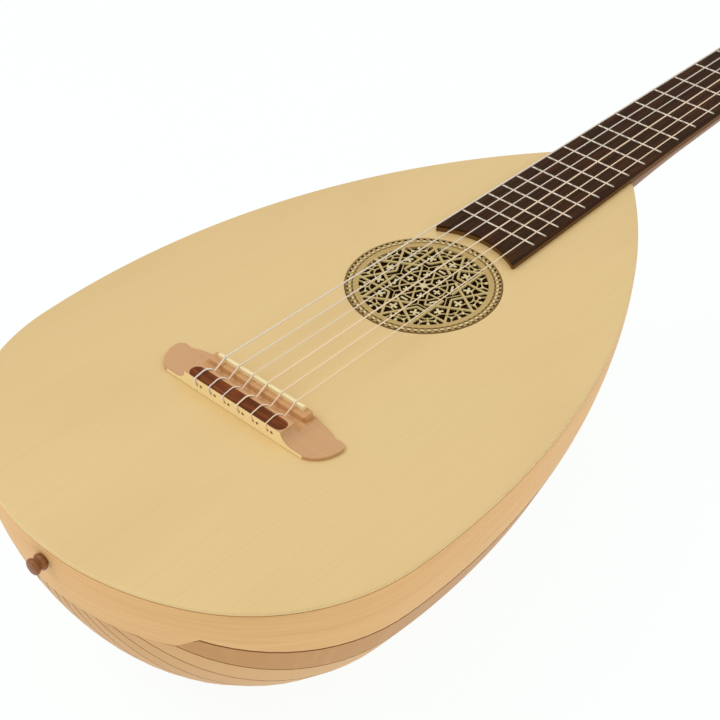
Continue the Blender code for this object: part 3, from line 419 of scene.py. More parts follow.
def baked_mesh(guide):
    """The evaluated mesh of an object, welded, with the object removed."""
    graph = bpy.context.evaluated_depsgraph_get()
    mesh = bpy.data.meshes.new_from_object(guide.evaluated_get(graph))
    bpy.data.objects.remove(guide)
    shape = bmesh.new()
    shape.from_mesh(mesh)
    bpy.data.meshes.remove(mesh)
    bmesh.ops.remove_doubles(shape, verts=shape.verts, dist=WELD)
    return mesh_from(shape)


def linked(name, data):
    guide = bpy.data.objects.new(name, data)
    bpy.context.scene.collection.objects.link(guide)
    return guide


def lofted(rings, caps="face"):
    """A skin through rings of points. A face or a ladder of rungs closes each end, or the ends meet."""
    shape = bmesh.new()
    rows = [[shape.verts.new(point) for point in ring] for ring in rings]
    count = len(rows[0])
    pairs = list(zip(rows, rows[1:]))
    if caps == "ring":
        pairs.append((rows[-1], rows[0]))
    for lower, upper in pairs:
        for i in range(count):
            j = (i + 1) % count
            shape.faces.new((lower[i], lower[j], upper[j], upper[i]))
    for row in (rows[0], rows[-1]):
        if caps == "face":
            shape.faces.new(row)
        elif caps == "rungs":
            for i in range(count // 2 - 1):
                shape.faces.new((row[i], row[i + 1], row[-i - 2], row[-i - 1]))
    return mesh_from(shape)


def curve_mesh(lines, edge, edge_steps, **settings):
    """The mesh of a curve through lines of points, closed where it is flat."""
    curve = bpy.data.curves.new("curve", "CURVE")
    for setting, value in settings.items():
        setattr(curve, setting, value)
    curve.bevel_depth = edge
    curve.bevel_resolution = edge_steps
    for line in lines:
        spline = curve.splines.new("POLY")
        spline.points.add(len(line) - 1)
        for point, place in zip(spline.points, line):
            point.co = (*place, 1)
        spline.use_cyclic_u = curve.dimensions == "2D"
    return baked_mesh(linked("curve", curve))


def plate(outlines, thickness, edge=0.0, edge_steps=2):
    """A flat plate centred on its own XY plane, its edges rounded. Outlines after the first are holes."""
    lines = [[(x, y, 0) for x, y in outline] for outline in outlines]
    flat = {"dimensions": "2D", "fill_mode": "BOTH", "extrude": thickness / 2 - edge, "offset": -edge}
    return curve_mesh(lines, edge, edge_steps, **flat)


def block(low, high):
    """A box between two corners."""
    shape = bmesh.new()
    bmesh.ops.create_cube(shape, size=1)
    low, high = Vector(low), Vector(high)
    fitted = Matrix.Translation((low + high) / 2) @ Matrix.Diagonal((*(high - low), 1))
    bmesh.ops.transform(shape, matrix=fitted, verts=shape.verts)
    return mesh_from(shape)


def rod(radius, start, end, sides):
    """A round rod between two points."""
    start, end = Vector(start), Vector(end)
    length = (end - start).length
    shape = bmesh.new()
    bmesh.ops.create_cone(shape, cap_ends=True, segments=sides, radius1=radius, radius2=radius, depth=length)
    turn = (end - start).to_track_quat("Z", "Y").to_matrix().to_4x4()
    bmesh.ops.transform(shape, matrix=Matrix.Translation((start + end) / 2) @ turn, verts=shape.verts)
    return mesh_from(shape)


def ball(around, rows):
    shape = bmesh.new()
    bmesh.ops.create_uvsphere(shape, u_segments=around, v_segments=rows, radius=1)
    return mesh_from(shape)


def turned(profile, steps):
    """A solid turned about Z from (radius, height) points that run down its outer side."""
    mesh = bpy.data.meshes.new("profile")
    edges = [(i, i + 1) for i in range(len(profile) - 1)]
    mesh.from_pydata([(radius, 0, height) for radius, height in profile], edges, [])
    guide = linked("turned", mesh)
    screw = guide.modifiers.new("turn", "SCREW")
    screw.steps = steps
    screw.render_steps = steps
    screw.use_merge_vertices = True
    screw.merge_threshold = WELD
    return baked_mesh(guide)


def turned_ring(profile, steps):
    """A ring about Z from a closed outline of (radius, height) points."""
    turns = [2 * pi * step / steps for step in range(steps)]
    return lofted([[(r * cos(turn), r * sin(turn), z) for r, z in profile] for turn in turns], "ring")


def wire(route, radius, sides=3):
    """A round wire along a route of points."""
    return curve_mesh([route], radius, sides, dimensions="3D", use_fill_caps=True)


def joined(meshes):
    """One mesh that holds all of these."""
    shape = bmesh.new()
    for mesh in meshes:
        shape.from_mesh(mesh)
        bpy.data.meshes.remove(mesh)
    return mesh_from(shape)


def carved(mesh, cuts, within=None):
    """What is left of a mesh after each cut, of its part within another mesh where one is given."""
    guide = linked("carved", mesh)
    steps = [("INTERSECT", within)] if within else []
    steps += [("DIFFERENCE", cut) for cut in cuts]
    tools = []
    for operation, tool_mesh in steps:
        tools.append(linked("tool", tool_mesh))
        step = guide.modifiers.new("step", "BOOLEAN")
        step.operation = operation
        step.object = tools[-1]
    mesh = baked_mesh(guide)
    for tool in tools:
        bpy.data.objects.remove(tool)
    return mesh


def moved(mesh, matrix):
    mesh.transform(matrix)
    if matrix.determinant() < 0:
        mesh.flip_normals()
    return mesh


def show(name, mesh, finish, stands_for=None, body="instrument", place=DESIGN, bevel=0.0, crease=35):
    """A shown piece in its place, with its finish, riding on its body."""
    mesh.name = name
    moved(mesh, place)
    mesh.materials.append(FINISH[finish])
    mesh.shade_smooth()
    mesh.set_sharp_from_angle(angle=radians(crease))
    piece = linked(name, mesh)
    if bevel:
        rounding = piece.modifiers.new("rounding", "BEVEL")
        rounding.width = bevel
        rounding.segments = 3
        rounding.limit_method = "ANGLE"
        rounding.angle_limit = radians(crease)
        rounding.harden_normals = True
    evened = piece.modifiers.new("evened", "WEIGHTED_NORMAL")
    evened.keep_sharp = True
    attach(piece, body)
    if stands_for:
        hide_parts(stands_for)


# Finishes


def maths(operation, reflected=False, **settings):
    """A method of Value that adds a Math node. A reflected operator has the value as its second term."""
    settings["operation"] = operation

    def added(value, *others):
        terms = (*others, value) if reflected else (value, *others)
        return value.finish.node("ShaderNodeMath", settings, dict(enumerate(terms)))

    return added


class Value:
    """A shader socket that takes part in sums."""

    __add__, __radd__ = maths("ADD"), maths("ADD", True)
    __sub__, __rsub__ = maths("SUBTRACT"), maths("SUBTRACT", True)
    __mul__, __rmul__ = maths("MULTIPLY"), maths("MULTIPLY", True)
    __truediv__, __rtruediv__ = maths("DIVIDE"), maths("DIVIDE", True)
    __pow__, __rpow__ = maths("POWER"), maths("POWER", True)
    absolute = maths("ABSOLUTE")
    floor = maths("FLOOR")
    fraction = maths("FRACT")
    sine = maths("SINE")
    arctangent = maths("ARCTAN2")
    above = maths("GREATER_THAN")
    below = maths("LESS_THAN")
    clamped_sum = maths("ADD", use_clamp=True)

    def __init__(self, finish, socket):
        self.finish = finish
        self.socket = socket

    def clamped(self):
        return self.clamped_sum(0.0)

    def band(self, low, high, soft):
        """1 between two limits and 0 outside, with soft edges."""
        rise = ((self - low) / soft + 0.5).clamped()
        return rise * ((high - self) / soft + 0.5).clamped()


class Finish:
    """A material being made: a Principled shader, and the nodes that feed it."""

    def __init__(self, name, **constants):
        self.material = bpy.data.materials.new(name)
        self.material.use_nodes = True
        self.tree = self.material.node_tree
        self.shader = self.tree.nodes["Principled BSDF"]
        for socket, value in constants.items():
            self.feed(socket.replace("_", " "), value)

    def plug(self, socket, value):
        if isinstance(value, Value):
            self.tree.links.new(value.socket, socket)
        else:
            socket.default_value = value

    def feed(self, socket, value):
        self.plug(self.shader.inputs[socket], value)

    def node(self, kind, settings=None, sockets=None, output=0):
        """Makes a node: its settings, then the values or links of its sockets."""
        made = self.tree.nodes.new(kind)
        for setting, value in (settings or {}).items():
            setattr(made, setting, value)
        for socket, value in (sockets or {}).items():
            self.plug(made.inputs[socket], value)
        return Value(self, made.outputs[output])

    def place(self, origin=(0, 0, 0)):
        """The surface's place from an origin in the design frame, in millimetres, as three values."""
        spot = self.node("ShaderNodeTexCoord", output="Object")
        start = DESIGN @ Vector(origin)
        shifted = self.node("ShaderNodeVectorMath", {"operation": "SUBTRACT"}, {0: spot, 1: start})
        scaled = self.node("ShaderNodeVectorMath", {"operation": "SCALE"}, {0: shifted, "Scale": 1000.0})
        return [self.node("ShaderNodeSeparateXYZ", None, {0: scaled}, axis) for axis in range(3)]

    def vector(self, x, y, z):
        return self.node("ShaderNodeCombineXYZ", None, {0: x, 1: y, 2: z})

    def noise(self, x, y, z, detail=2.0, roughness=0.5):
        sockets = {"Vector": self.vector(x, y, z), "Scale": 1.0, "Detail": detail, "Roughness": roughness}
        return self.node("ShaderNodeTexNoise", {"noise_dimensions": "3D"}, sockets)

    def chance(self, seed):
        """An even random value from a number, the same for the whole of that number."""
        return self.node("ShaderNodeTexWhiteNoise", {"noise_dimensions": "1D"}, {"W": seed})

    def mix(self, share, first, second):
        """A colour from the first to the second, as the share goes from 0 to 1."""
        sockets = {0: share, 6: colour(first), 7: colour(second)}
        return self.node("ShaderNodeMix", {"data_type": "RGBA"}, sockets, 2)

    def finished(self, shade, relief=None, distance=0.0, strength=0.0):
        """The material with its colour, and with a relief where there is one."""
        self.feed("Base Color", shade)
        if relief:
            sockets = {"Height": relief, "Distance": distance, "Strength": strength}
            self.feed("Normal", self.node("ShaderNodeBump", None, sockets))
        return self.material


def colour(value):
    """A colour from its red, green and blue as a screen shows them, from 0 to 255."""
    if isinstance(value, Value):
        return value
    parts = [part / 255 for part in value]
    return (*[part / 12.92 if part < 0.04045 else ((part + 0.055) / 1.055) ** 2.4 for part in parts], 1)


def grain(finish, across, along, depth, spacing, wander):
    """Year rings and fibres of wood, each from 0 to 1, from places in millimetres."""
    drift = finish.noise(across / 60, along / 340, depth / 60, 1.0)
    place = (across + drift * wander) / spacing
    broad = finish.noise(place * 0.9, along / 900, depth / 90, 3.0, 0.65)
    year = place.fraction()
    ring = year ** 2.2
    fibre = finish.noise(across * 2.6, along / 22, depth * 2.6, 3.0, 0.6)
    return ring, broad, fibre


def spruce_finish():
    """Pale quartered spruce: fine straight year lines, stronger in places, and faint broad bands, with
    painted shade darkening the bass side.
    """
    made = Finish("spruce_top", Roughness=0.46, Coat_Weight=0.12, Coat_Roughness=0.3)
    across, along, depth = made.place()
    ring, broad, fibre = grain(made, across.absolute() + 7.0, along, depth, 1.5, 9.0)
    cloud = made.noise(across / 130, along / 170, 0.4, 2.0)
    patch = ((made.noise(across / 42, along / 120, 3.3, 1.0) - 0.5) * 5.0).clamped()
    base = made.mix(cloud, (229, 200, 139), (232, 199, 136))
    lined = made.mix(ring * (patch * 0.34 + 0.07), base, (201, 158, 92))
    banded = made.mix((broad - 0.46).clamped() * 0.55, lined, (203, 162, 98))
    # Painted shade: the bass side is painted darker, as if the light on the board fell off there.
    bass_side = ((across * -1.0 - 40.0) / 150.0).clamped()
    bass_shaded = made.mix(bass_side * 0.55, banded, (214, 178, 118))
    shade = made.mix(fibre * 0.12, bass_shaded, (240, 220, 172))
    return made.finished(shade, ring * 0.5 + fibre, 0.00003, 0.3)


def rim_finish():
    """The clasp and the edge strips: one peach-coloured maple, its grain along the rim."""
    made = Finish("rim_maple", Roughness=0.5, Specular_IOR_Level=0.15)
    across, along, height = made.place()
    turn = across.arctangent(60.0 - along) * 150.0
    wave = made.noise(turn / 70, height / 14, 1.7, 2.0) * 9.0
    streak = made.noise(turn / 60, (height + wave) / 1.7, 0.0, 4.0, 0.6)
    broad = made.noise(turn / 120, (height + wave) / 9, 5.0, 2.0)
    fibre = made.noise(turn / 9, height * 2.2, across / 40, 3.0)
    base = made.mix(broad, (239, 193, 134), (226, 176, 112))
    streaked = made.mix((streak - 0.45).clamped() * 1.3, base, (204, 150, 88))
    shade = made.mix(fibre * 0.15, streaked, (244, 206, 152))
    return made.finished(shade, fibre, 0.00003, 0.25)


def rib_finish(name, light, dark, contrast=0.35):
    """Maple ribs: grain along each rib, each rib a little different from the next."""
    made = Finish(name, Roughness=0.45, Specular_IOR_Level=0.15)
    across, along, height = made.place()
    angle = (height * -1.0).arctangent(across)
    number = ((angle - radians(EDGE_RIB_ANGLE)) / radians(RIB_ANGLE)).floor()
    luck = made.chance(number + 3.0)
    turn = angle * 118.0
    ring, broad, fibre = grain(made, turn + luck * 90.0, along, luck * 50.0, 3.1, 22.0)
    flame = made.noise(turn / 30 + luck * 20.0, along / 5.5, luck * 9.0, 2.0, 0.5)
    base = made.mix(luck * 0.5 + broad * 0.4, light, dark)
    lined = made.mix(ring * contrast * 0.5, base, dark)
    flamed = made.mix((flame - 0.5).clamped() * contrast, lined, (232, 192, 134))
    made.feed("Roughness", fibre * 0.1 + 0.40)
    shade = made.mix(fibre * 0.14, flamed, (232, 190, 132))
    return made.finished(shade, fibre, 0.00003, 0.25)


def plain_wood(name, light, dark, along_axis, spacing, rough, coat=0.1, line=0.5, pore=0.0):
    """Wood whose grain runs along one axis of the design frame."""
    made = Finish(name, Roughness=rough, Coat_Weight=coat, Coat_Roughness=0.25)
    axes = made.place()
    along = axes.pop(along_axis)
    ring, broad, fibre = grain(made, axes[0], along, axes[1], spacing, 6 * spacing)
    base = made.mix(broad, light, dark)
    lined = made.mix(ring * line, base, dark)
    if pore:
        pores = made.noise(axes[0] * 5, along / 3.2, axes[1] * 5, 2.0)
        lined = made.mix((pores - 0.58).clamped() * pore, lined, tuple(part * 0.4 for part in dark))
    made.feed("Roughness", fibre * 0.12 + (rough - 0.06))
    shade = made.mix(fibre * 0.2, lined, light)
    return made.finished(shade, fibre, 0.00004, 0.3)


def rosette_finish(name, light, dark):
    """Carved spruce, with painted shade that darkens it the deeper it lies below the board's face."""
    made = Finish(name, Roughness=0.6, Specular_IOR_Level=0.2)
    across, along, depth = made.place((0, ROSE_Y, 0))
    ring, broad, fibre = grain(made, across, along, depth, 1.5, 4.0)
    base = made.mix(broad, light, dark)
    lined = made.mix(ring * 0.25, base, (160, 130, 78))
    # Painted shade: the deeper the carving lies, the darker it is painted, down to near black.
    sunk = ((depth + 1.25) * -2.5).clamped()
    shade = made.mix(sunk, lined, (36, 20, 10))
    return made.finished(shade, fibre, 0.00005, 0.4)


def rosette_border_finish():
    """The border's two rows of dark dashes, one at each gap between the beads."""
    made = Finish("rosette_border", Roughness=0.6, Specular_IOR_Level=0.1)
    across, along, _ = made.place((0, ROSE_Y, 0))
    radius = (across * across + along * along) ** 0.5
    turn = along.arctangent(across)
    gap = (turn * (ROPE_STRANDS / (2 * pi)) + 0.5).fraction()
    outer = radius.band(47.3, 48.7, 0.4) * gap.band(0.25, 0.75, 0.2)
    inner = radius.band(44.3, 45.3, 0.3) * gap.band(0.25, 0.75, 0.3) * 0.7
    ground = made.mix(made.noise(across / 2, along / 2, 0.0, 3.0), (206, 180, 122), (184, 154, 96))
    groove = radius.band(44.4, 45.2, 0.3) + radius.band(48.6, 49.6, 0.4) + radius.band(45.4, 47.6, 0.4) * 0.5
    lined = made.mix((groove * 0.8).clamped(), ground, (112, 80, 38))
    shade = made.mix((outer + inner).clamped(), lined, (34, 18, 8))
    return made.finished(shade, inner + outer, 0.0001, -0.4)


def bridge_finish():
    """Pinkish-brown pearwood, its tie block's tail face painted cream: partly the face's own light colour,
    partly a painted highlight.
    """
    made = Finish("bridge_pearwood", Roughness=0.5, Coat_Weight=0.1, Coat_Roughness=0.3)
    across, along, height = made.place()
    ring, broad, fibre = grain(made, along, across, height, 1.8, 5.0)
    fleck = made.noise(across * 0.9, along * 2.2, height * 2.2, 4.0, 0.7)
    base = made.mix(broad, (221, 175, 124), (200, 149, 99))
    flecked = made.mix((fleck - 0.5).clamped() * 1.6, base, (168, 116, 74))
    lined = made.mix(ring * 0.2, flecked, (180, 126, 80))
    middle = (across.absolute() - 42.0).below(0.0) * (along + 11.0).above(0.0)
    lined = made.mix(middle * 0.45, lined, (206, 150, 84))
    # The tail-facing face is painted cream: partly its own light colour, partly a painted highlight.
    tail_face = (along + 22.1).below(0.0)
    shade = made.mix(tail_face, lined, (255, 232, 172))
    return made.finished(shade, fibre, 0.00005, 0.4)


def streaked_finish(name, ground, streak, patch_colour, along_axis, rough, side_colour=None):
    """Dark rosewood with redder streaks, darker patches and open pores."""
    made = Finish(name, Roughness=rough, Specular_IOR_Level=0.1)
    axes = made.place()
    along = axes.pop(along_axis)
    streaks = made.noise(axes[0] * 0.55, along / 45, axes[1] * 0.55, 4.0, 0.62)
    patch = made.noise(axes[0] / 30, along / 38, 0.0, 1.0)
    pores = made.noise(axes[0] * 4.5, along / 4, axes[1] * 4.5, 2.0)
    base = made.mix(((streaks - 0.42) * 2.4).clamped(), ground, streak)
    blotched = made.mix((patch - 0.45).clamped() * 2.0, base, patch_colour)
    if side_colour:
        side = (axes[1] - 1000 * (FINGERBOARD_TOP - CHAMFER)).below(0.0)
        blotched = made.mix(side * 0.6, blotched, side_colour)
    made.feed("Roughness", pores * 0.2 + (rough - 0.1))
    shade = made.mix((pores - 0.55).clamped() * 2.0, blotched, (16, 8, 5))
    return made.finished(shade, pores, 0.00006, -0.35)


def veined_finish(name, light, dark, sizes, detail, relief=0.0, **constants):
    """A plain stuff with faint veins of these sizes along the three axes, in millimetres."""
    made = Finish(name, **constants)
    vein = made.noise(*[spot / size for spot, size in zip(made.place(), sizes)], detail)
    return made.finished(made.mix(vein, light, dark), vein if relief else None, 0.00002, relief)


def metal_finish(name, light, dark, rough, brushed_axis):
    """Metal with fine brushing along one axis and faint tarnish."""
    made = Finish(name, Metallic=1.0)
    axes = made.place()
    along = axes.pop(brushed_axis)
    brushing = made.noise(axes[0] * 9, along / 6, axes[1] * 9, 2.0)
    tarnish = made.noise(axes[0] / 7, along / 9, axes[1] / 7, 3.0)
    made.feed("Roughness", brushing * 0.14 + tarnish * 0.12 + (rough - 0.12))
    shade = made.mix(tarnish, light, dark)
    return made.finished(shade, brushing, 0.00002, 0.25)


def string_finish(name, light, dark, metallic, rough, winding):
    """A string, plain or wound. A winding shows as fine turns across it."""
    made = Finish(name, Metallic=metallic, Roughness=rough)
    across, along, height = made.place()
    turns = (along * (2 * pi / winding) if winding else made.noise(across, along / 3, height)).sine()
    shade = made.mix(turns * 0.5 + 0.5, light, dark)
    return made.finished(shade, turns if winding else None, 0.00006, 0.5)


def pearl_finish():
    """Mother-of-pearl plastic: pale swirls under a clear gloss."""
    made = Finish("pearl_knob", Roughness=0.18, Coat_Weight=0.6, Coat_Roughness=0.06)
    across, along, height = made.place()
    swirl = made.noise(across / 5, along / 5, height / 3, 5.0, 0.7)
    fold = (swirl * 26.0).sine() * 0.5 + 0.5
    base = made.mix(fold, (246, 241, 230), (214, 206, 194))
    shade = made.mix(swirl, base, (232, 236, 226))
    return made.finished(shade, fold, 0.00002, 0.15)


def make_finishes():
    inlay = ((106, 52, 20), (168, 94, 44), (74, 34, 12))
    board = ((50, 27, 10), (94, 54, 22), (50, 38, 12))
    bone = ("polished_bone", (255, 240, 190), (238, 214, 152), (9, 2 / 3, 2 / 3), 3.0, 0.2)
    bone_gloss = {"Roughness": 0.3, "Coat_Weight": 0.3, "Coat_Roughness": 0.12}
    sleeve = ("roller_sleeve", (238, 226, 196), (222, 206, 170), (1 / 6, 40, 40), 2.0, 0.3)
    glue = ("joint_line", (112, 66, 26), (132, 82, 36), (4, 12, 4), 2.0)
    return {
        "spruce": spruce_finish(),
        "bar_spruce": plain_wood("bar_spruce", (214, 186, 136), (190, 154, 100), 0, 1.6, 0.6),
        "maple": rib_finish("rib_maple", (222, 175, 116), (206, 154, 94)),
        "dark_maple": rib_finish("second_rib_maple", (206, 154, 98), (190, 136, 80), 0.4),
        "rim": rim_finish(),
        "block": plain_wood("block_wood", (205, 170, 120), (176, 138, 92), 2, 2.5, 0.7),
        "rose": rosette_finish("rosette_wood", (218, 198, 140), (196, 172, 112)),
        "cross": rosette_finish("rosette_light_wood", (240, 226, 176), (222, 204, 150)),
        "border": rosette_border_finish(),
        "rope": plain_wood("rope_chain", (242, 224, 170), (216, 188, 128), 1, 1.0, 0.5),
        "bridge": bridge_finish(),
        "inlay": streaked_finish("rosewood_inlay", *inlay, 0, 0.5),
        "rosewood": streaked_finish("rosewood_board", *board, 1, 0.55, (132, 92, 48)),
        "bone": veined_finish(*bone, **bone_gloss),
        "neck": plain_wood("neck_wood", (150, 98, 50), (116, 70, 34), 1, 2.6, 0.45, 0.05, 0.4, 1.2),
        "walnut": plain_wood("walnut_button", (168, 104, 46), (108, 60, 22), 1, 1.2, 0.45, 0.05, 0.5),
        "wound": string_finish("wound_string", (252, 242, 226), (232, 216, 196), 0.2, 0.4, 0.42),
        "nylon": string_finish("nylon_string", (252, 234, 204), (246, 220, 186), 0.0, 0.3, 0.0),
        "fret": metal_finish("fret_silver", (206, 194, 178), (178, 166, 148), 0.36, 0),
        "brass": metal_finish("tuner_brass", (226, 200, 138), (196, 164, 98), 0.26, 1),
        "steel": metal_finish("tuner_steel", (206, 204, 202), (168, 166, 166), 0.3, 2),
        "sleeve": veined_finish(*sleeve, Roughness=0.38),
        "pearl": pearl_finish(),
        "joint": veined_finish(*glue, Roughness=0.6, Specular_IOR_Level=0.1),
    }


# Body


def make_soundboard():
    side = [side_point(along, BOARD_INSET) for along in np.linspace(0, SIDE_LENGTH, BOARD_STEPS + 1)[1:]]
    outline = [(0.0, TAIL_Y)] + side + [(-x, y) for x, y in reversed(side)]
    hole = circle((0, ROSE_Y), ROSE_RADIUS + ROSE_HOLE_GAP, ROSE_HOLE_SIDES)
    mesh = plate([outline, hole], BOARD_THICKNESS, BOARD_EDGE, 3)
    show("soundboard_top", mesh, "spruce", "soundboard", place=DESIGN @ shift(0, 0, -BOARD_THICKNESS / 2))


def clasp_edge(angle):
    """(x, depth) of the clasp's edge, seen from behind, where it crosses an angle of the bowl."""
    slope = tan(radians(min(angle, 180 - angle)))
    if slope < CLASP_END_DEPTH / CLASP_LOWER_HALF:
        narrowing, drop = CLASP_RIM_HALF - CLASP_LOWER_HALF, CLASP_END_DEPTH + RIM_Z
        share = (CLASP_RIM_HALF * slope + RIM_Z) / (drop + narrowing * slope)
        return CLASP_RIM_HALF - narrowing * share, drop * share - RIM_Z
    bend = (CLASP_MIDDLE_DEPTH - CLASP_END_DEPTH) / CLASP_LOWER_HALF**2
    x = 2 * CLASP_MIDDLE_DEPTH / (slope + sqrt(slope**2 + 4 * bend * CLASP_MIDDLE_DEPTH))
    return x, CLASP_MIDDLE_DEPTH - bend * x**2


def rib_start(angle):
    """Distance along the side at which a rib leaves the clasp."""
    return along_at_half_width(hypot(*clasp_edge(angle))) + CLASP_SEAM


def joint_width(angle):
    """The joints next to the rim strips are wider than the others."""
    return RIM_JOINT_WIDTH if min(angle, 180 - angle) < EDGE_RIB_ANGLE + 1 else JOINT_WIDTH


def rib_mesh(low, high):
    """A flat rib between two angles of the bowl, with its long edges a little eased."""
    middle = (low + high) / 2
    rings = []
    for station in range(RIB_STATIONS + 1):
        share = station / RIB_STATIONS
        outer, inner = [], []
        for angle in (low, middle, high):
            start = rib_start(angle)
            along = start + (SIDE_LENGTH - start) * share
            face = 2 * side_point(along)[0] * sin(radians((high - low) / 2))
            gap = joint_width(angle) / 2 / face
            rows = ((gap, EASED_DEPTH), (gap + 0.00025 / face, EASED_SLOPE), (gap + 0.0007 / face, 0.0))
            if angle == middle:
                rows = ((0.5, 0.0),)
            if angle == high:
                rows = [(1 - place, sink) for place, sink in reversed(rows)]
            outer += [flat_rib_point(along, low, high, place, sink) for place, sink in rows]
            back = rows[0][0] if angle == low else rows[-1][0]
            inner.insert(0, flat_rib_point(along, low, high, back, RIB_THICKNESS))
        rings.append(outer + inner)
    return lofted(rings)


def edge_rib_mesh(side):
    """The strip along the soundboard, curved as the bowl is."""
    rings = []
    for station in range(RIB_STATIONS + 1):
        share = station / RIB_STATIONS
        outer, inner = [], []
        for row, sink in EDGE_ROWS:
            start = edge_rib_start(row)
            along = start + (SIDE_LENGTH - start) * share
            half_width = side_point(along)[0]
            rim = rim_angle(half_width)
            high = EDGE_RIB_ANGLE - degrees(RIM_JOINT_WIDTH / 2 / half_width)
            angle = rim + (high - rim) * row
            outer.append(bowl_point(along, angle, sink))
            inner.insert(0, bowl_point(along, angle, RIB_THICKNESS))
        rings.append([(side * point.x, point.y, point.z) for point in outer + inner])
    return lofted(rings, "rungs")


def rim_angle(half_width):
    """Angle of the bowl at the soundboard's underside."""
    return degrees(asin(-RIM_Z / half_width))


def edge_rib_start(row):
    """Where one row of the edge strip leaves the clasp. Its angle depends on the half width that it gives."""
    half_width = CLASP_RIM_HALF
    for _ in range(4):
        rim = rim_angle(half_width)
        angle = rim + (EDGE_RIB_ANGLE - rim) * row
        half_width = hypot(*clasp_edge(angle))
    return rib_start(angle)


def make_ribs():
    for i in range(RIB_COUNT):
        low = EDGE_RIB_ANGLE + RIB_ANGLE * i
        name = f"rib_{i + 1:02d}"
        finish = "dark_maple" if i in (0, RIB_COUNT - 1) else "maple"
        show(f"{name}_strip", rib_mesh(low, low + RIB_ANGLE), finish, name)
    for word, side in (("treble", 1), ("bass", -1)):
        show(f"edge_rib_{word}_strip", edge_rib_mesh(side), "rim", f"edge_rib_{word}")


def make_joint_lines():
    """Dark glue lines between the ribs, just under their faces."""
    strips = []
    for i in range(RIB_COUNT + 1):
        angle = EDGE_RIB_ANGLE + RIB_ANGLE * i
        rings = []
        start, end = rib_start(angle) + JOINT_END_GAP, SIDE_LENGTH - JOINT_END_GAP
        for along in np.linspace(start, end, RIB_STATIONS + 1):
            half = degrees(joint_width(angle) * JOINT_SPREAD / side_point(along)[0])
            corners = ((-half, JOINT_SINK), (half, JOINT_SINK), (half, JOINT_FOOT), (-half, JOINT_FOOT))
            rings.append([bowl_point(along, angle + turn, inset) for turn, inset in corners])
        strips.append(lofted(rings))
    show("rib_joint_lines", joined(strips), "joint")


def clasp_mesh():
    """The clasp as a fine grid: columns from one end to the other, rows from the rim to the lower edge."""
    rings = []
    low, high = EDGE_RIB_ANGLE + RIB_ANGLE, 180 - EDGE_RIB_ANGLE - RIB_ANGLE
    for column in range(CLASP_COLUMNS + 1):
        angle = low + (high - low) * column / CLASP_COLUMNS
        x, depth = clasp_edge(angle)
        x *= -1 if angle > 90 else 1
        rim = Vector((CLASP_RIM_HALF * x / CLASP_LOWER_HALF, RIM_Z))
        edge = Vector((x, -depth))
        shares = [0.0, 0.012, 0.03, *np.linspace(0.1, 0.9, CLASP_ROWS), 0.97, 0.988, 1.0]
        sinks = [0.00025, 0.00008, 0.0, *[0.0] * CLASP_ROWS, 0.0, 0.00005, 0.00012]
        outer = [clasp_point(rim.lerp(edge, share), sink) for share, sink in zip(shares, sinks)]
        inner = [clasp_point(rim.lerp(edge, share), RIB_THICKNESS) for share in reversed(shares)]
        rings.append(outer + inner)
    outside, inside = (0, TAIL_Y - 0.01, -BUTTON_DEPTH), (0, TAIL_Y + 0.04, -BUTTON_DEPTH)
    return carved(lofted(rings, "rungs"), [rod(BUTTON_PEG_RADIUS + 0.0002, outside, inside, 32)])


def clasp_point(place, inset):
    """Point of the tail seen from behind at (x, z)."""
    along = along_at_half_width(place.length)
    return bowl_point(along, degrees(atan2(-place.y, place.x)), inset)


def make_end_button():
    disc, waist, peg, length = BUTTON_DISC_RADIUS, BUTTON_WAIST_RADIUS, BUTTON_PEG_RADIUS, BUTTON_LENGTH
    upper = ((0, 1), (0.30, 1), (0.34, 0.97), (0.60, 0.985), (0.84, 0.95), (0.97, 0.87))
    upper += ((1, 0.77), (0.97, 0.68), (0.86, 0.60))
    lower = ((0.86, 0.41), (0.98, 0.33), (1, 0.24), (0.97, 0.13), (0.9, 0.06))
    profile = [(disc * wide, length * high) for wide, high in upper]
    profile += [(waist, length * 0.54), (waist, length * 0.47)]
    profile += [(disc * wide, length * high) for wide, high in lower]
    profile += [(peg, length * 0.055), (peg, -0.010), (0, -0.010)]
    outward = DESIGN @ shift(0, TAIL_Y, -BUTTON_DEPTH) @ UPRIGHT
    show("tail_button", turned(profile, 48), "walnut", "end_button", place=outward, crease=50)


# Rosette


def polar(radius, angle):
    return (radius * cos(radians(angle)), radius * sin(radians(angle)))


def spun(point, angle, side=1):
    """A point of the rosette, mirrored over the X axis or not, then turned about the middle."""
    turn = radians(angle)
    x, y = point[0], side * point[1]
    return (x * cos(turn) - y * sin(turn), x * sin(turn) + y * cos(turn))


def strap(route, half, sunk, closed=False):
    """One strap of the rosette along a route in millimetres, with its top edges chamfered."""
    low, inner = -sunk - STRAP_CHAMFER, half - STRAP_CHAMFER
    section = [(-half, STRAP_FOOT), (half, STRAP_FOOT), (half, low)]
    section += [(inner, -sunk), (-inner, -sunk), (-half, low)]
    count = len(route)
    rings = []
    for i, (x, y) in enumerate(route):
        before = route[i - 1] if closed or i else route[0]
        after = route[(i + 1) % count] if closed or i + 1 < count else route[i]
        ahead = Vector((after[0] - before[0], after[1] - before[1])).normalized()
        rings.append([Vector((x - ahead.y * a, y + ahead.x * a, z)) / 1000 for a, z in section])
    return lofted(rings, "ring" if closed else "face")


def blob(place, radius):
    """A round knob on the rosette's rim."""
    level = shift(place[0] / 1000, place[1] / 1000, BLOB_Z)
    return moved(ball(10, 6), level @ Matrix.Diagonal((radius / 1000, radius / 1000, BLOB_HEIGHT, 1)))


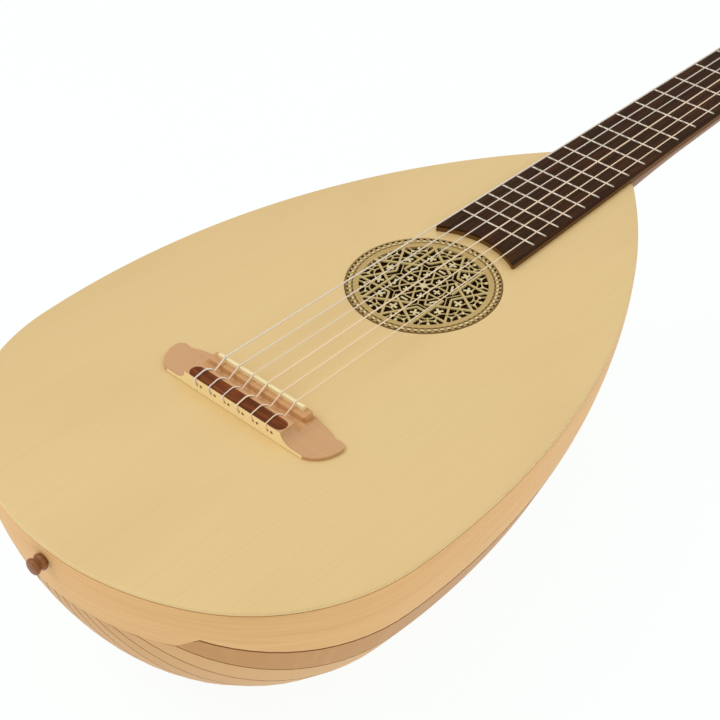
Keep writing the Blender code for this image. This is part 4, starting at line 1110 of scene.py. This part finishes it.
def rosette_lattice():
    """The straps that cross as six-pointed stars, the two rings between them and the rim's stems."""
    ring = [polar(STAR_RING, 5 * i) for i in range(72)]
    wave = [polar(WAVE_RING - WAVE_DEPTH * cos(radians(24 * i)), 2 * i) for i in range(180)]
    parts = [strap(ring, *STAR_RING_STRAP, closed=True), strap(wave, *WAVE_STRAP, closed=True)]
    for step in range(12):
        turn, side = 60 * (step // 2), 1 - 2 * (step % 2)
        for first, last, half, sunk in SIDE_STRAPS:
            ends = [spun(first, turn, side), spun(last, turn, side)]
            parts.append(strap(ends, half, sunk + STRAP_LAYER * step))
        middle = 30 * step + 15
        parts.append(strap([polar(radius, middle) for radius in RIM_STEM], *STEM_STRAP))
        for way in (1, -1):
            for route, half, sunk in SCROLLS:
                bent = [polar(radius, middle + way * angle) for radius, angle in route]
                parts.append(strap(bent, half, sunk + STRAP_LAYER * way))
    for step in range(6):
        for first, last, half, sunk in AXIS_STRAPS:
            parts.append(strap([spun(first, 60 * step), spun(last, 60 * step)], half, sunk))
    return joined(parts)


def rosette_crosses():
    """The lighter crosses, leaves and knobs in the lattice's cells, and the boss in its middle."""
    parts = [moved(moved(ball(24, 10), Matrix.Diagonal((*BOSS_SIZE, 1))), shift(0, 0, BOSS_Z))]
    for step in range(12):
        cell = [*CELL_CROSS, LEAF] if step % 2 else [*CELL_CROSS, *STAR_CROSS, RAY]
        for first, last, half, sunk in cell:
            ends = [spun(first, 30 * step), spun(last, 30 * step)]
            parts.append(strap(ends, half, sunk + STRAP_LAYER / 2 * step))
        middle = 30 * step + 15
        parts.append(blob(polar(RIM_BLOB, middle), RIM_BLOB_RADIUS))
        for way in (1, -1):
            parts.append(blob(polar(SIDE_BLOB[0], middle + way * SIDE_BLOB[1]), SIDE_BLOB_RADIUS))
    return joined(parts)


def make_rosette():
    centre = DESIGN @ shift(0, ROSE_Y, 0)
    show("rosette_lattice", rosette_lattice(), "rose", "rosette", place=centre)
    show("rosette_crosses", rosette_crosses(), "cross", place=centre)
    show("rosette_border", turned_ring(BORDER_PROFILE, ROSE_BORDER_SIDES), "border", place=centre)
    beads = []
    for i in range(ROPE_STRANDS):
        turn = Matrix.Rotation(2 * pi * i / ROPE_STRANDS, 4, "Z")
        seat = turn @ shift(ROPE_RADIUS, 0, BEAD_Z) @ spin(BEAD_LEAN, "Z")
        beads.append(moved(ball(12, 8), seat @ Matrix.Diagonal((*BEAD_SIZE, 1))))
    show("rosette_rope", joined(beads), "rope", place=centre)


# Bridge


def bridge_outline():
    """Half of the bridge's edge: a straight tail, a round lobe, a cusp and a long sweep to the front."""
    lobe = arc(LOBE_MIDDLE, LOBE_RADIUS, -5, 108, 12)
    return [
        (0.0545, BRIDGE_TAIL_Y),
        (0.0575, -0.0213),
        (0.0606, -0.0195),
        (0.0634, -0.0168),
        (0.0655, -0.0136),
        (0.0669, -0.0102),
        (0.0677, -0.0070),
        *lobe,
        (0.0598, 0.0006),
        (0.0587, 0.0005),
        (0.0574, 0.0010),
        (0.0545, 0.0025),
        (0.0510, 0.0037),
        (0.0465, 0.0045),
        (0.0425, 0.0049),
        (BRIDGE_BLOCK_HALF, BRIDGE_FRONT_Y),
    ]


def bridge_section():
    """Plate, tie block, channel and saddle ridge, seen from the treble side as (y, z)."""
    front, tail, ledge = BRIDGE_FRONT_Y - 0.0002, BRIDGE_TAIL_Y - 0.0002, BRIDGE_FOOT + BRIDGE_PLATE - 0.0002
    return [
        (tail, BRIDGE_FOOT),
        (BRIDGE_FRONT_Y + 0.0002, BRIDGE_FOOT),
        (BRIDGE_FRONT_Y + 0.0002, ledge),
        (front, ledge),
        (front, SADDLE_RIDGE_TOP - 0.0016),
        (front - 0.0004, SADDLE_RIDGE_TOP - 0.0006),
        (front - 0.0013, SADDLE_RIDGE_TOP),
        (CHANNEL_FRONT_Y + 0.0014, SADDLE_RIDGE_TOP),
        (CHANNEL_FRONT_Y + 0.0005, SADDLE_RIDGE_TOP - 0.0004),
        (CHANNEL_FRONT_Y, SADDLE_RIDGE_TOP - 0.0014),
        (CHANNEL_FRONT_Y, CHANNEL_FLOOR + 0.0015),
        (CHANNEL_FRONT_Y - 0.0005, CHANNEL_FLOOR + 0.0004),
        (CHANNEL_FRONT_Y - 0.0015, CHANNEL_FLOOR),
        (CHANNEL_BACK_Y, CHANNEL_FLOOR),
        (CHANNEL_BACK_Y, BRIDGE_BLOCK_TOP),
        (tail, BRIDGE_BLOCK_TOP),
    ]


def bridge_sweep(side):
    """The room over a wing: a hollow arc from the tie block's top down to the wing, then level."""
    above, wing_top = BRIDGE_BLOCK_TOP + 0.002, BRIDGE_FOOT + BRIDGE_PLATE
    run, rise = BRIDGE_SWEEP_END - BRIDGE_BLOCK_HALF, BRIDGE_BLOCK_TOP - wing_top
    radius = (run**2 + rise**2) / (2 * rise)
    start = 264 - degrees(asin(min(1.0, run / radius)))
    outline = arc((BRIDGE_SWEEP_END, wing_top + radius), radius, start, 270, 24)
    outline += [(BRIDGE_REACH, wing_top), (BRIDGE_REACH, above), (outline[0][0], above)]
    return moved(plate([[(side * x, z) for x, z in outline]], 0.05), UPRIGHT)


def ridge_end(side):
    """The room round one rounded end of the saddle ridge."""
    middle_x = RIDGE_END - RIDGE_CORNER
    front, back = BRIDGE_FRONT_Y - 0.0004, CHANNEL_FRONT_Y
    outline = [(middle_x, front + 0.002), *arc((middle_x, front - RIDGE_CORNER), RIDGE_CORNER, 90, 0, 8)]
    outline += [*arc((middle_x, back + RIDGE_CORNER), RIDGE_CORNER, 0, -90, 8), (middle_x, back - 0.0001)]
    outline += [(BRIDGE_REACH, back - 0.0001), (BRIDGE_REACH, front + 0.002)]
    return moved(plate([[(side * x, y) for x, y in outline]], 0.010), shift(0, 0, CHANNEL_FLOOR + 0.005))


def stadium(length, width, steps=12):
    """A flat bar outline with round ends."""
    radius = width / 2
    half = length / 2 - radius
    return arc((half, 0), radius, -90, 90, steps) + arc((-half, 0), radius, 90, 270, steps)


def bridge_mesh():
    cuts = []
    for side in (-1, 1):
        cuts += [bridge_sweep(side), ridge_end(side)]
    end, slot_half = SADDLE_LENGTH / 2 + TOUCH, SADDLE_WIDTH / 2 + TOUCH
    cuts.append(block((-end, SADDLE_Y - slot_half, SADDLE_SEAT), (end, SADDLE_Y + slot_half, 0.02)))
    seat = plate([stadium(INLAY_LENGTH + 2 * TOUCH, INLAY_WIDTH + 2 * TOUCH)], 0.004)
    cuts.append(moved(seat, shift(0, INLAY_Y, INLAY_SEAT + 0.002)))
    for number in range(1, 7):
        for offset in (0.0, SECOND_HOLE_OFFSET):
            x = string_x(number, SADDLE_SPACING) + offset
            ends = [(x, y, TIE_HOLE_HEIGHT) for y in (BRIDGE_TAIL_Y - 0.002, CHANNEL_BACK_Y + 0.002)]
            cuts.append(rod(TIE_HOLE_RADIUS, *ends, 16))
    solid = moved(plate([bridge_section()], 2 * BRIDGE_REACH), ALONG_X)
    return carved(solid, cuts, plate([mirrored(bridge_outline())], 0.03))


def make_bridge():
    show("bridge_body", bridge_mesh(), "bridge", "bridge", bevel=0.0003)
    thickness = BRIDGE_BLOCK_TOP - INLAY_SEAT - TOUCH
    inlay = plate([stadium(INLAY_LENGTH, INLAY_WIDTH)], thickness, 0.00015)
    level = DESIGN @ shift(0, INLAY_Y, BRIDGE_BLOCK_TOP - thickness / 2)
    show("inlay_bar", inlay, "inlay", "tie_block_inlay", place=level)
    half, foot = SADDLE_WIDTH / 2, SADDLE_SEAT + TOUCH
    section = [(-half, foot), (half, foot), *arc((half - 0.0009, SADDLE_TOP - 0.0014), 0.0009, 0, 70, 5)]
    section += arc((-half + 0.0007, SADDLE_TOP - 0.0007), 0.0007, 85, 180, 6)
    saddle = plate([section], SADDLE_LENGTH, 0.0003)
    show("saddle_bone", saddle, "bone", "saddle", place=DESIGN @ shift(0, SADDLE_Y, 0) @ ALONG_X)


# Neck, fingerboard and nut


def make_fingerboard():
    end_half = fingerboard_half(ROSE_Y)
    reach = degrees(asin(end_half / FINGERBOARD_END_RADIUS))
    first, last = 90 - FINGERBOARD_CORNER_TURN + reach, 90 + FINGERBOARD_CORNER_TURN - reach
    end = arc((0, ROSE_Y), FINGERBOARD_END_RADIUS, first, last, 40)
    corner_y = end[-1][1] + 0.0004
    near_half, nut_half = fingerboard_half(corner_y), fingerboard_half(SCALE_LENGTH)
    corner = [(near_half - 0.0009, corner_y), (near_half - 0.0002, corner_y + 0.0008)]
    corner += [(near_half, corner_y + 0.0020)]
    outline = [*end, *corner, (nut_half, SCALE_LENGTH), (-nut_half, SCALE_LENGTH)]
    outline += [(-x, y) for x, y in reversed(corner)]
    thickness = FINGERBOARD_TOP - FINGERBOARD_FOOT
    solid = moved(plate([outline], thickness), shift(0, 0, FINGERBOARD_FOOT + thickness / 2))
    mesh = carved(solid, [chamfer(side) for side in (-1, 1)])
    show("fingerboard_wood", mesh, "rosewood", "fingerboard", bevel=0.0004)
    for number in range(1, FRET_COUNT + 1):
        y = SCALE_LENGTH * 2 ** (-number / 12)
        half = fingerboard_half(y) - CHAMFER - FRET_INSET
        place = DESIGN @ shift(0, y, FINGERBOARD_TOP - FRET_SINK)
        show(f"fret_{number:02d}", fret_mesh(half), "fret", place=place)


def chamfer(side):
    """The wedge taken off one long upper edge of the fingerboard, along more than its length."""
    rings = []
    low = FINGERBOARD_TOP - CHAMFER
    above = FINGERBOARD_TOP + 0.004
    for y in (0.1, 0.7):
        half = fingerboard_half(y)
        section = ((half + CHAMFER, low - CHAMFER), (half + CHAMFER, above), (half - CHAMFER - 0.004, above))
        rings.append([(side * x, y, z) for x, z in section])
    return lofted(rings)


def fret_mesh(half):
    """A domed metal bar across the fingerboard, its ends rounded over."""
    places = [(-share * half, size) for share, size in FRET_ENDS]
    places += [(share * half, size) for share, size in reversed(FRET_ENDS)]
    dome = [(y * FRET_WIDTH / 2, z * FRET_HEIGHT) for y, z in arc((0, 0), 1.0, 0, 180, 10)]
    return lofted([[(x, y * size, z * size) for y, z in dome] for x, size in places])


def make_nut():
    half = fingerboard_half(SCALE_LENGTH)
    back, front = NUT_BACK_Y, SCALE_LENGTH + 0.0001
    section = [(front, BRIDGE_FOOT), (back, BRIDGE_FOOT), (back, NUT_TOP - 0.0012)]
    section += arc((back - NUT_CORNER, NUT_TOP - NUT_CORNER), NUT_CORNER, 15, 90, 5) + [(front, NUT_TOP)]
    cuts = []
    for number, radius in enumerate(STRING_RADII, 1):
        x, z, reach = string_x(number, NUT_SPACING), NUT_REST + radius, radius + TOUCH
        low_y, high_y = SCALE_LENGTH - 0.002, NUT_BACK_Y + 0.002
        cuts.append(rod(reach, (x, low_y, z), (x, high_y, z), 16))
        cuts.append(block((x - reach, low_y, z), (x + reach, high_y, NUT_TOP + 0.002)))
    mesh = carved(moved(plate([section], 2 * half), ALONG_X), cuts)
    show("nut_bone", mesh, "bone", "nut", bevel=0.0002)


def neck_depth(y):
    """Depth of the neck below the soundboard's plane: an even taper that swells into the heel."""
    taper = (SCALE_LENGTH - y) / (SCALE_LENGTH - NECK_JOINT_Y)
    even = NECK_DEPTH_AT_NUT + NECK_TAPER * taper
    into_heel = max(0.0, 1 - (y - NECK_JOINT_Y) / HEEL_LENGTH)
    return even + (NECK_DEPTH_AT_BODY - even) * into_heel**2


def rounded_v(share):
    """Narrows a half round towards a V, and keeps its width at the top."""
    return copysign(abs(share) ** NECK_SHARPNESS, share)


def make_neck():
    rings = []
    half_round = arc((0, 0), 1, 0, 180, 36)
    for y in np.linspace(NECK_JOINT_Y + 0.0002, NUT_BACK_Y, NECK_STATIONS):
        half, depth = fingerboard_half(y), neck_depth(y)
        rings.append([(half * rounded_v(across), y, -depth * down) for across, down in half_round])
    show("neck_shaft", lofted(rings), "neck", "neck", bevel=0.0005)


# Head


def head_outline():
    """Half of the head's face: a root as wide as the neck, a flare, and a crest with round corners."""
    root, wide, corner = HEAD_ROOT_HALF, HEAD_HALF_WIDTH, HEAD_CORNER
    flare = []
    for step in range(13):
        t = step / 12
        flare.append((root + (wide - root) * t * t * (3 - 2 * t), FLARE_START + FLARE_LENGTH * t))
    tip = arc((wide - corner, HEAD_LENGTH - HEAD_CREST - corner), corner, 0, 80, 16)
    return [(root, -0.012), *flare, *tip, (0.006, HEAD_LENGTH - 0.0004), (0.002, HEAD_LENGTH)]


def slot_outline(side):
    middle = side * (SLOT_INNER + SLOT_OUTER) / 2
    radius = (SLOT_OUTER - SLOT_INNER) / 2
    top = arc((middle, SLOT_END - radius), radius, 0, 180, 24)
    return top + arc((middle, SLOT_START + radius), radius, 180, 360, 24)


def ramp(side):
    """The wedge that lets the strings down into a slot."""
    inner, outer = SLOT_INNER + 0.0008, SLOT_OUTER - 0.0008
    deep = SLOT_START + 0.008
    section = ((RAMP_START, 0.001), (deep, 0.001), (deep, -RAMP_DEPTH), (RAMP_START, -0.0003))
    return lofted([[(side * x, y, z) for y, z in section] for x in (inner, outer)])


def make_headstock():
    level = shift(0, 0, -HEAD_THICKNESS / 2)
    trim = block((-0.05, HEAD_Y - 0.05, -0.06), (0.05, HEAD_Y, 0.03))
    cuts = [moved(trim, HEAD.inverted() @ DESIGN)]
    for side in (-1, 1):
        cuts += [moved(plate([slot_outline(side)], HEAD_THICKNESS + 0.01), level), ramp(side)]
        for y in TUNER_PLACES:
            ends = [(side * x, y, -AXIS_DEPTH) for x in (ROLLER_INNER_END - 0.0006, HEAD_HALF_WIDTH + 0.01)]
            cuts.append(rod(ROLLER_HOLE_RADIUS, *ends, 40))
    mesh = carved(moved(plate([mirrored(head_outline())], HEAD_THICKNESS), level), cuts)
    show("head_wood", mesh, "neck", "headstock", place=HEAD, bevel=0.0006)


# Tuners


def gear_mesh():
    """A wheel whose teeth lean with the worm's thread. A gap faces local +Y when it isn't turned."""
    pitch = 2 * pi / GEAR_TEETH
    root, tip = GEAR_PITCH_RADIUS - 1.2 * GEAR_MODULE, GEAR_PITCH_RADIUS + GEAR_MODULE
    lean = WORM_LEAD / (2 * pi * WORM_PITCH_RADIUS) / GEAR_PITCH_RADIUS
    flank = ((-0.36, root), (-0.30, root + 0.0001), (-0.21, GEAR_PITCH_RADIUS))
    flank += ((-0.13, tip - 0.00008), (-0.09, tip))
    tooth = [*flank, *[(-turn, radius) for turn, radius in reversed(flank)]]
    corners = []
    for number in range(GEAR_TEETH):
        corners += [((number + 0.5 + turn) * pitch, radius) for turn, radius in tooth]
    rings = []
    for x in np.linspace(-GEAR_WIDTH / 2, GEAR_WIDTH / 2, 5):
        turn = lean * x
        rings.append([(GEAR_X + x, r * cos(a + turn), r * sin(a + turn)) for a, r in corners])
    return lofted(rings)


def lie_along_x(mesh):
    return moved(mesh, spin(90, "Y"))


def sleeve_mesh():
    end, inner, radius, edge = ROLLER_END, ROLLER_INNER_END, ROLLER_RADIUS, ROLLER_CHAMFER
    profile = [(0, end), (radius - edge, end), (radius, end - edge), (radius, SLOT_OUTER + 0.0006)]
    profile += [(radius - ROLLER_GROOVE, SLOT_OUTER), (radius - ROLLER_GROOVE, SLOT_INNER)]
    profile += [(radius, SLOT_INNER - 0.0006), (radius, inner + edge), (radius - edge, inner), (0, inner)]
    return lie_along_x(turned(profile, 48))


def wheel_mesh():
    """The gear wheel with its hub and the slotted screw that holds it."""
    face = GEAR_X + GEAR_WIDTH / 2
    hub = [(0, GEAR_X), (ROLLER_NECK_RADIUS, GEAR_X), (ROLLER_NECK_RADIUS, ROLLER_END), (0, ROLLER_END)]
    screw = [(0, face + 0.0013), (0.0016, face + 0.0013), (0.0023, face + 0.0009), (0.0025, face + 0.0004)]
    screw += [(0.0025, face - 0.0002), (0, face - 0.0002)]
    slot = block((face + 0.0008, -0.004, -0.0003), (face + 0.002, 0.004, 0.0003))
    head = carved(lie_along_x(turned(screw, 32)), [slot])
    return joined([gear_mesh(), lie_along_x(turned(hub, 32)), head])


def winding_radius(radius):
    """How far the middle of a wound-up string lies from its roller's axis."""
    return ROLLER_RADIUS - ROLLER_GROOVE + radius + 0.00005


def winding_route(order, radius):
    """Turns of a string round its roller, in the roller's own place, from where the string lands on it."""
    around = winding_radius(radius)
    route = []
    for step in range(int(WINDING_TURNS * WINDING_STEPS) + 1):
        turn = 2 * pi * step / WINDING_STEPS
        x = STRING_LANDINGS[order] - (2 * radius + STRING_GAP) * turn / (2 * pi)
        route.append(Vector((x, around * sin(turn), around * cos(turn))))
    last = route[-1]
    return [*route, (last.x - 0.0006, last.y * 0.8, last.z * 0.8), (last.x - 0.0009, 0, 0)]


def thread_mesh():
    """The worm's thread as a ridge wound on its shaft. Its crest passes local -Y at the middle."""
    root, crest = SHAFT_RADIUS - GEAR_MODULE / 3, WORM_PITCH_RADIUS + GEAR_MODULE
    root_half, crest_half = GEAR_MODULE * 0.92, GEAR_MODULE * 0.26
    steps = WORM_TURNS * WORM_STEPS
    rings = []
    for step in range(-steps // 2, steps // 2 + 1):
        angle = 2 * pi * step / WORM_STEPS - pi / 2
        height = WORM_LEAD * step / WORM_STEPS
        rise = min(1.0, (steps // 2 - abs(step)) / (WORM_STEPS / 6))
        outer = root + (crest - root) * (0.25 + 0.75 * sin(rise * pi / 2))
        section = ((root, -root_half), (outer - 0.0001, -crest_half * 1.3), (outer, -crest_half * 0.6))
        section += ((outer, crest_half * 0.6), (outer - 0.0001, crest_half * 1.3), (root, root_half))
        rings.append([(r * cos(angle), r * sin(angle), height + z) for r, z in section])
    return lofted(rings)


def worm_mesh():
    """A worm and its shaft, from the head above the upper tab to the end in the knob."""
    collar = TAB_REACH + TAB_THICKNESS + 0.0002
    head = SHAFT_HEAD_RADIUS
    profile = [(0, SHAFT_TOP), (head * 0.7, SHAFT_TOP), (head, SHAFT_TOP - 0.0004)]
    profile += [(head, collar), (SHAFT_RADIUS, collar), (SHAFT_RADIUS, SHAFT_END), (0, SHAFT_END)]
    return joined([turned(profile, 32), thread_mesh()])


def knob_mesh():
    """An oval knob: a short neck that swells into a flattened grip."""
    around = circle((0, 0), 1, 32)
    rings = [[(short * x, long * y, KNOB_TOP + z) for x, y in around] for long, short, z in KNOB_SECTIONS]
    return lofted(rings)


def screw_mesh():
    """A slotted round screw head on the plate, its axis along X."""
    slot = block((0.0003, -0.003, -0.00018), (0.002, 0.003, 0.00018))
    return carved(lie_along_x(turned(SCREW_PROFILE, 24)), [slot])


def plate_mesh():
    """A treble-side tuner plate with round ends and a pair of holed tabs for each worm."""
    half, height = PLATE_LENGTH / 2, PLATE_HEIGHT / 2
    middle = sum(TUNER_PLACES) / len(TUNER_PLACES) + WORM_OFFSET / 2
    corner = PLATE_CORNER
    edge = arc((half - corner, -height + corner), corner, -90, 0, 6)
    edge += arc((half - corner, height - corner), corner, 0, 90, 6)
    holes = [circle((place - middle, 0), PLATE_HOLE_RADIUS, 32) for place in TUNER_PLACES]
    flat = plate([mirrored(edge), *holes], PLATE_THICKNESS, 0.0002)
    parts = [moved(flat, shift(PLATE_X + PLATE_THICKNESS / 2, middle, 0) @ ALONG_X)]
    reach = GEAR_X - PLATE_X
    round_end = arc((reach, 0), TAB_HALF_WIDTH, -90, 90, 16)
    outline = [(TAB_START, -TAB_HALF_WIDTH), *round_end, (TAB_START, TAB_HALF_WIDTH)]
    for place in TUNER_PLACES:
        for z in (-TAB_REACH - TAB_THICKNESS / 2, TAB_REACH + TAB_THICKNESS / 2):
            tab = plate([outline, circle((reach, 0), TAB_HOLE_RADIUS, 24)], TAB_THICKNESS, 0.0002)
            parts.append(moved(tab, shift(PLATE_X, place + WORM_OFFSET, z)))
    return joined(parts), middle


def make_tuners():
    for side, word in ((-1, "bass"), (1, "treble")):
        place = HEAD @ shift(0, 0, -AXIS_DEPTH) @ Matrix.Scale(side, 4, (1, 0, 0))
        sheet, middle = plate_mesh()
        name = f"tuner_plate_{word}"
        show(f"{name}_brass", sheet, "brass", name, place=place)
        screws = []
        for along in PLATE_SCREWS:
            seat = shift(PLATE_X + PLATE_THICKNESS, middle + along, 0)
            screws.append(moved(screw_mesh(), seat @ spin(35 + 900 * along, "X")))
        show(f"plate_screws_{word}", joined(screws), "steel", place=place)
        for order in range(len(TUNER_PLACES)):
            make_tuner(side, word, order)


def make_tuner(side, word, order):
    """One roller with its wheel and winding, and the worm and knob that turn it."""
    axle = HEAD @ shift(0, 0, -AXIS_DEPTH) @ shift(0, TUNER_PLACES[order], 0)
    turned_axle = axle if side > 0 else axle @ spin(180, "Z")
    tag = f"{word}_{order + 1}"
    roller, tuner = f"roller_{tag}", f"tuner_{tag}"
    show(f"sleeve_{tag}", sleeve_mesh(), "sleeve", roller, roller, turned_axle)
    show(f"wheel_{tag}", wheel_mesh(), "brass", body=roller, place=turned_axle)
    number = order + 1 if side > 0 else 6 - order
    radius = STRING_RADII[number - 1]
    winding = wire(winding_route(order, radius), radius)
    flipped = axle @ Matrix.Scale(side, 4, (1, 0, 0))
    show(f"winding_{number}", winding, STRING_FINISHES[number - 1], body=roller, place=flipped)
    stem = axle @ shift(side * GEAR_X, WORM_OFFSET, 0)
    show(f"worm_shaft_{tag}", worm_mesh(), "steel", f"worm_{tag}", tuner, stem)
    show(f"knob_grip_{tag}", knob_mesh(), "pearl", f"knob_{tag}", tuner, stem)


# Strings


def string_height(y, radius):
    """Height of a string's middle between the saddle and the nut."""
    share = y / SCALE_LENGTH
    return (SADDLE_TOP + TOUCH) * (1 - share) + NUT_REST * share + radius


def string_route(number, radius):
    """From the tie's loose end round the tie block, over the saddle and the nut, to the string's roller."""
    x, nut_x = string_x(number, SADDLE_SPACING), string_x(number, NUT_SPACING)
    over = BRIDGE_BLOCK_TOP + radius + STRING_GAP
    behind = BRIDGE_TAIL_Y - radius - STRING_GAP
    saddle_z, nut_z = string_height(0, radius), string_height(SCALE_LENGTH, radius)
    tie = smooth_route(
        [
            (x + 0.0006, CHANNEL_BACK_Y + 0.0010, TIE_HOLE_HEIGHT + 0.0014 + 2 * radius),
            (x + 0.0003, CHANNEL_BACK_Y + 0.0004, over - 0.0006),
            (x - 0.0003, CHANNEL_BACK_Y - 0.0006, over + 0.0001),
            (x - 0.0014, CHANNEL_BACK_Y - 0.0019, over + 0.0001),
            (x - 0.0020, CHANNEL_BACK_Y - 0.0042, over),
            (x - 0.0015, INLAY_Y - 0.0012, over),
            (x - 0.0011, BRIDGE_TAIL_Y + 0.0012, over),
            (x - 0.0008, behind, over - 0.0007),
            (x - 0.0001, behind, TIE_HOLE_HEIGHT + 0.0008),
            (x, BRIDGE_TAIL_Y + 0.0006, TIE_HOLE_HEIGHT),
        ],
        TIE_STEPS,
    )
    tie.append((x, CHANNEL_BACK_Y, TIE_HOLE_HEIGHT))
    low = (x, CHANNEL_BACK_Y + 0.0006, TIE_HOLE_HEIGHT + 0.0003)
    climb = [low, (x, SADDLE_Y - SADDLE_WIDTH / 2 - 0.0002, saddle_z - 0.0005)]
    level = [(x, 0.0004, saddle_z), (nut_x, SCALE_LENGTH, nut_z), (nut_x, NUT_BACK_Y, nut_z)]
    side, order = (1, number - 1) if number < 4 else (-1, 6 - number)
    landing = (side * STRING_LANDINGS[order], TUNER_PLACES[order], winding_radius(radius) - AXIS_DEPTH)
    return tie + climb + level + [DESIGN.inverted() @ HEAD @ Vector(landing)]


def make_strings():
    for number, (radius, finish) in enumerate(zip(STRING_RADII, STRING_FINISHES), 1):
        name = f"string_{number}"
        show(f"{name}_wire", wire(string_route(number, radius), radius, 4), finish, name)


# Carried-over pieces inside the body


def finish_inside():
    inside = {"neck_block": "block", "tail_block": "block"}
    inside.update({f"harmonic_bar_{number}": "bar_spruce" for number in range(1, 5)})
    for name, finish in inside.items():
        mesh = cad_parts[name].data
        mesh.materials.clear()
        mesh.materials.append(FINISH[finish])


# Studio


def make_studio():
    floor = linked("floor", block((-FLOOR_HALF, -FLOOR_HALF, -0.02), (FLOOR_HALF, FLOOR_HALF, 0)))
    paint = Finish("studio_floor", Roughness=0.9, Emission_Strength=FLOOR_GLOW, Specular_IOR_Level=0.0)
    across, along, _ = paint.place()
    shade = paint.noise(across / 900, along / 900, 0.0)
    paint.feed("Emission Color", paint.mix(shade, (252, 255, 254), (251, 254, 253)))
    floor.data.materials.append(paint.finished(paint.mix(shade, (88, 90, 90), (85, 87, 87))))
    world = bpy.data.worlds.new("studio")
    world.use_nodes = True
    sky = world.node_tree.nodes["Background"].inputs
    sky["Color"].default_value = (1.0, 1.0, 1.0, 1.0)
    sky["Strength"].default_value = SKY_STRENGTH
    bpy.context.scene.world = world
    for name, place, size, power in LAMPS:
        lamp = bpy.data.lights.new(name, "AREA")
        lamp.shape = "DISK"
        lamp.size = size
        lamp.energy = power
        made = linked(name, lamp)
        made.location = place
        made.rotation_euler = (-Vector(place)).to_track_quat("-Z", "Y").to_euler()


def make_camera():
    lens = bpy.data.cameras.new("camera")
    lens.lens = LENS
    lens.sensor_width = SENSOR_WIDTH
    lens.clip_start = 0.01
    lens.clip_end = 50.0
    camera = linked("camera", lens)
    camera.location = DESIGN @ Vector(CAMERA_PLACE)
    camera.rotation_euler = tuple(radians(turn) for turn in CAMERA_TURN)
    bpy.context.scene.camera = camera
    bpy.context.scene.view_settings.view_transform = "Standard"


FINISH = make_finishes()
make_soundboard()
make_ribs()
make_joint_lines()
show("clasp_cap", clasp_mesh(), "rim", "clasp")
make_end_button()
make_rosette()
make_bridge()
make_fingerboard()
make_nut()
make_neck()
make_headstock()
make_tuners()
make_strings()
finish_inside()
make_studio()
make_camera()
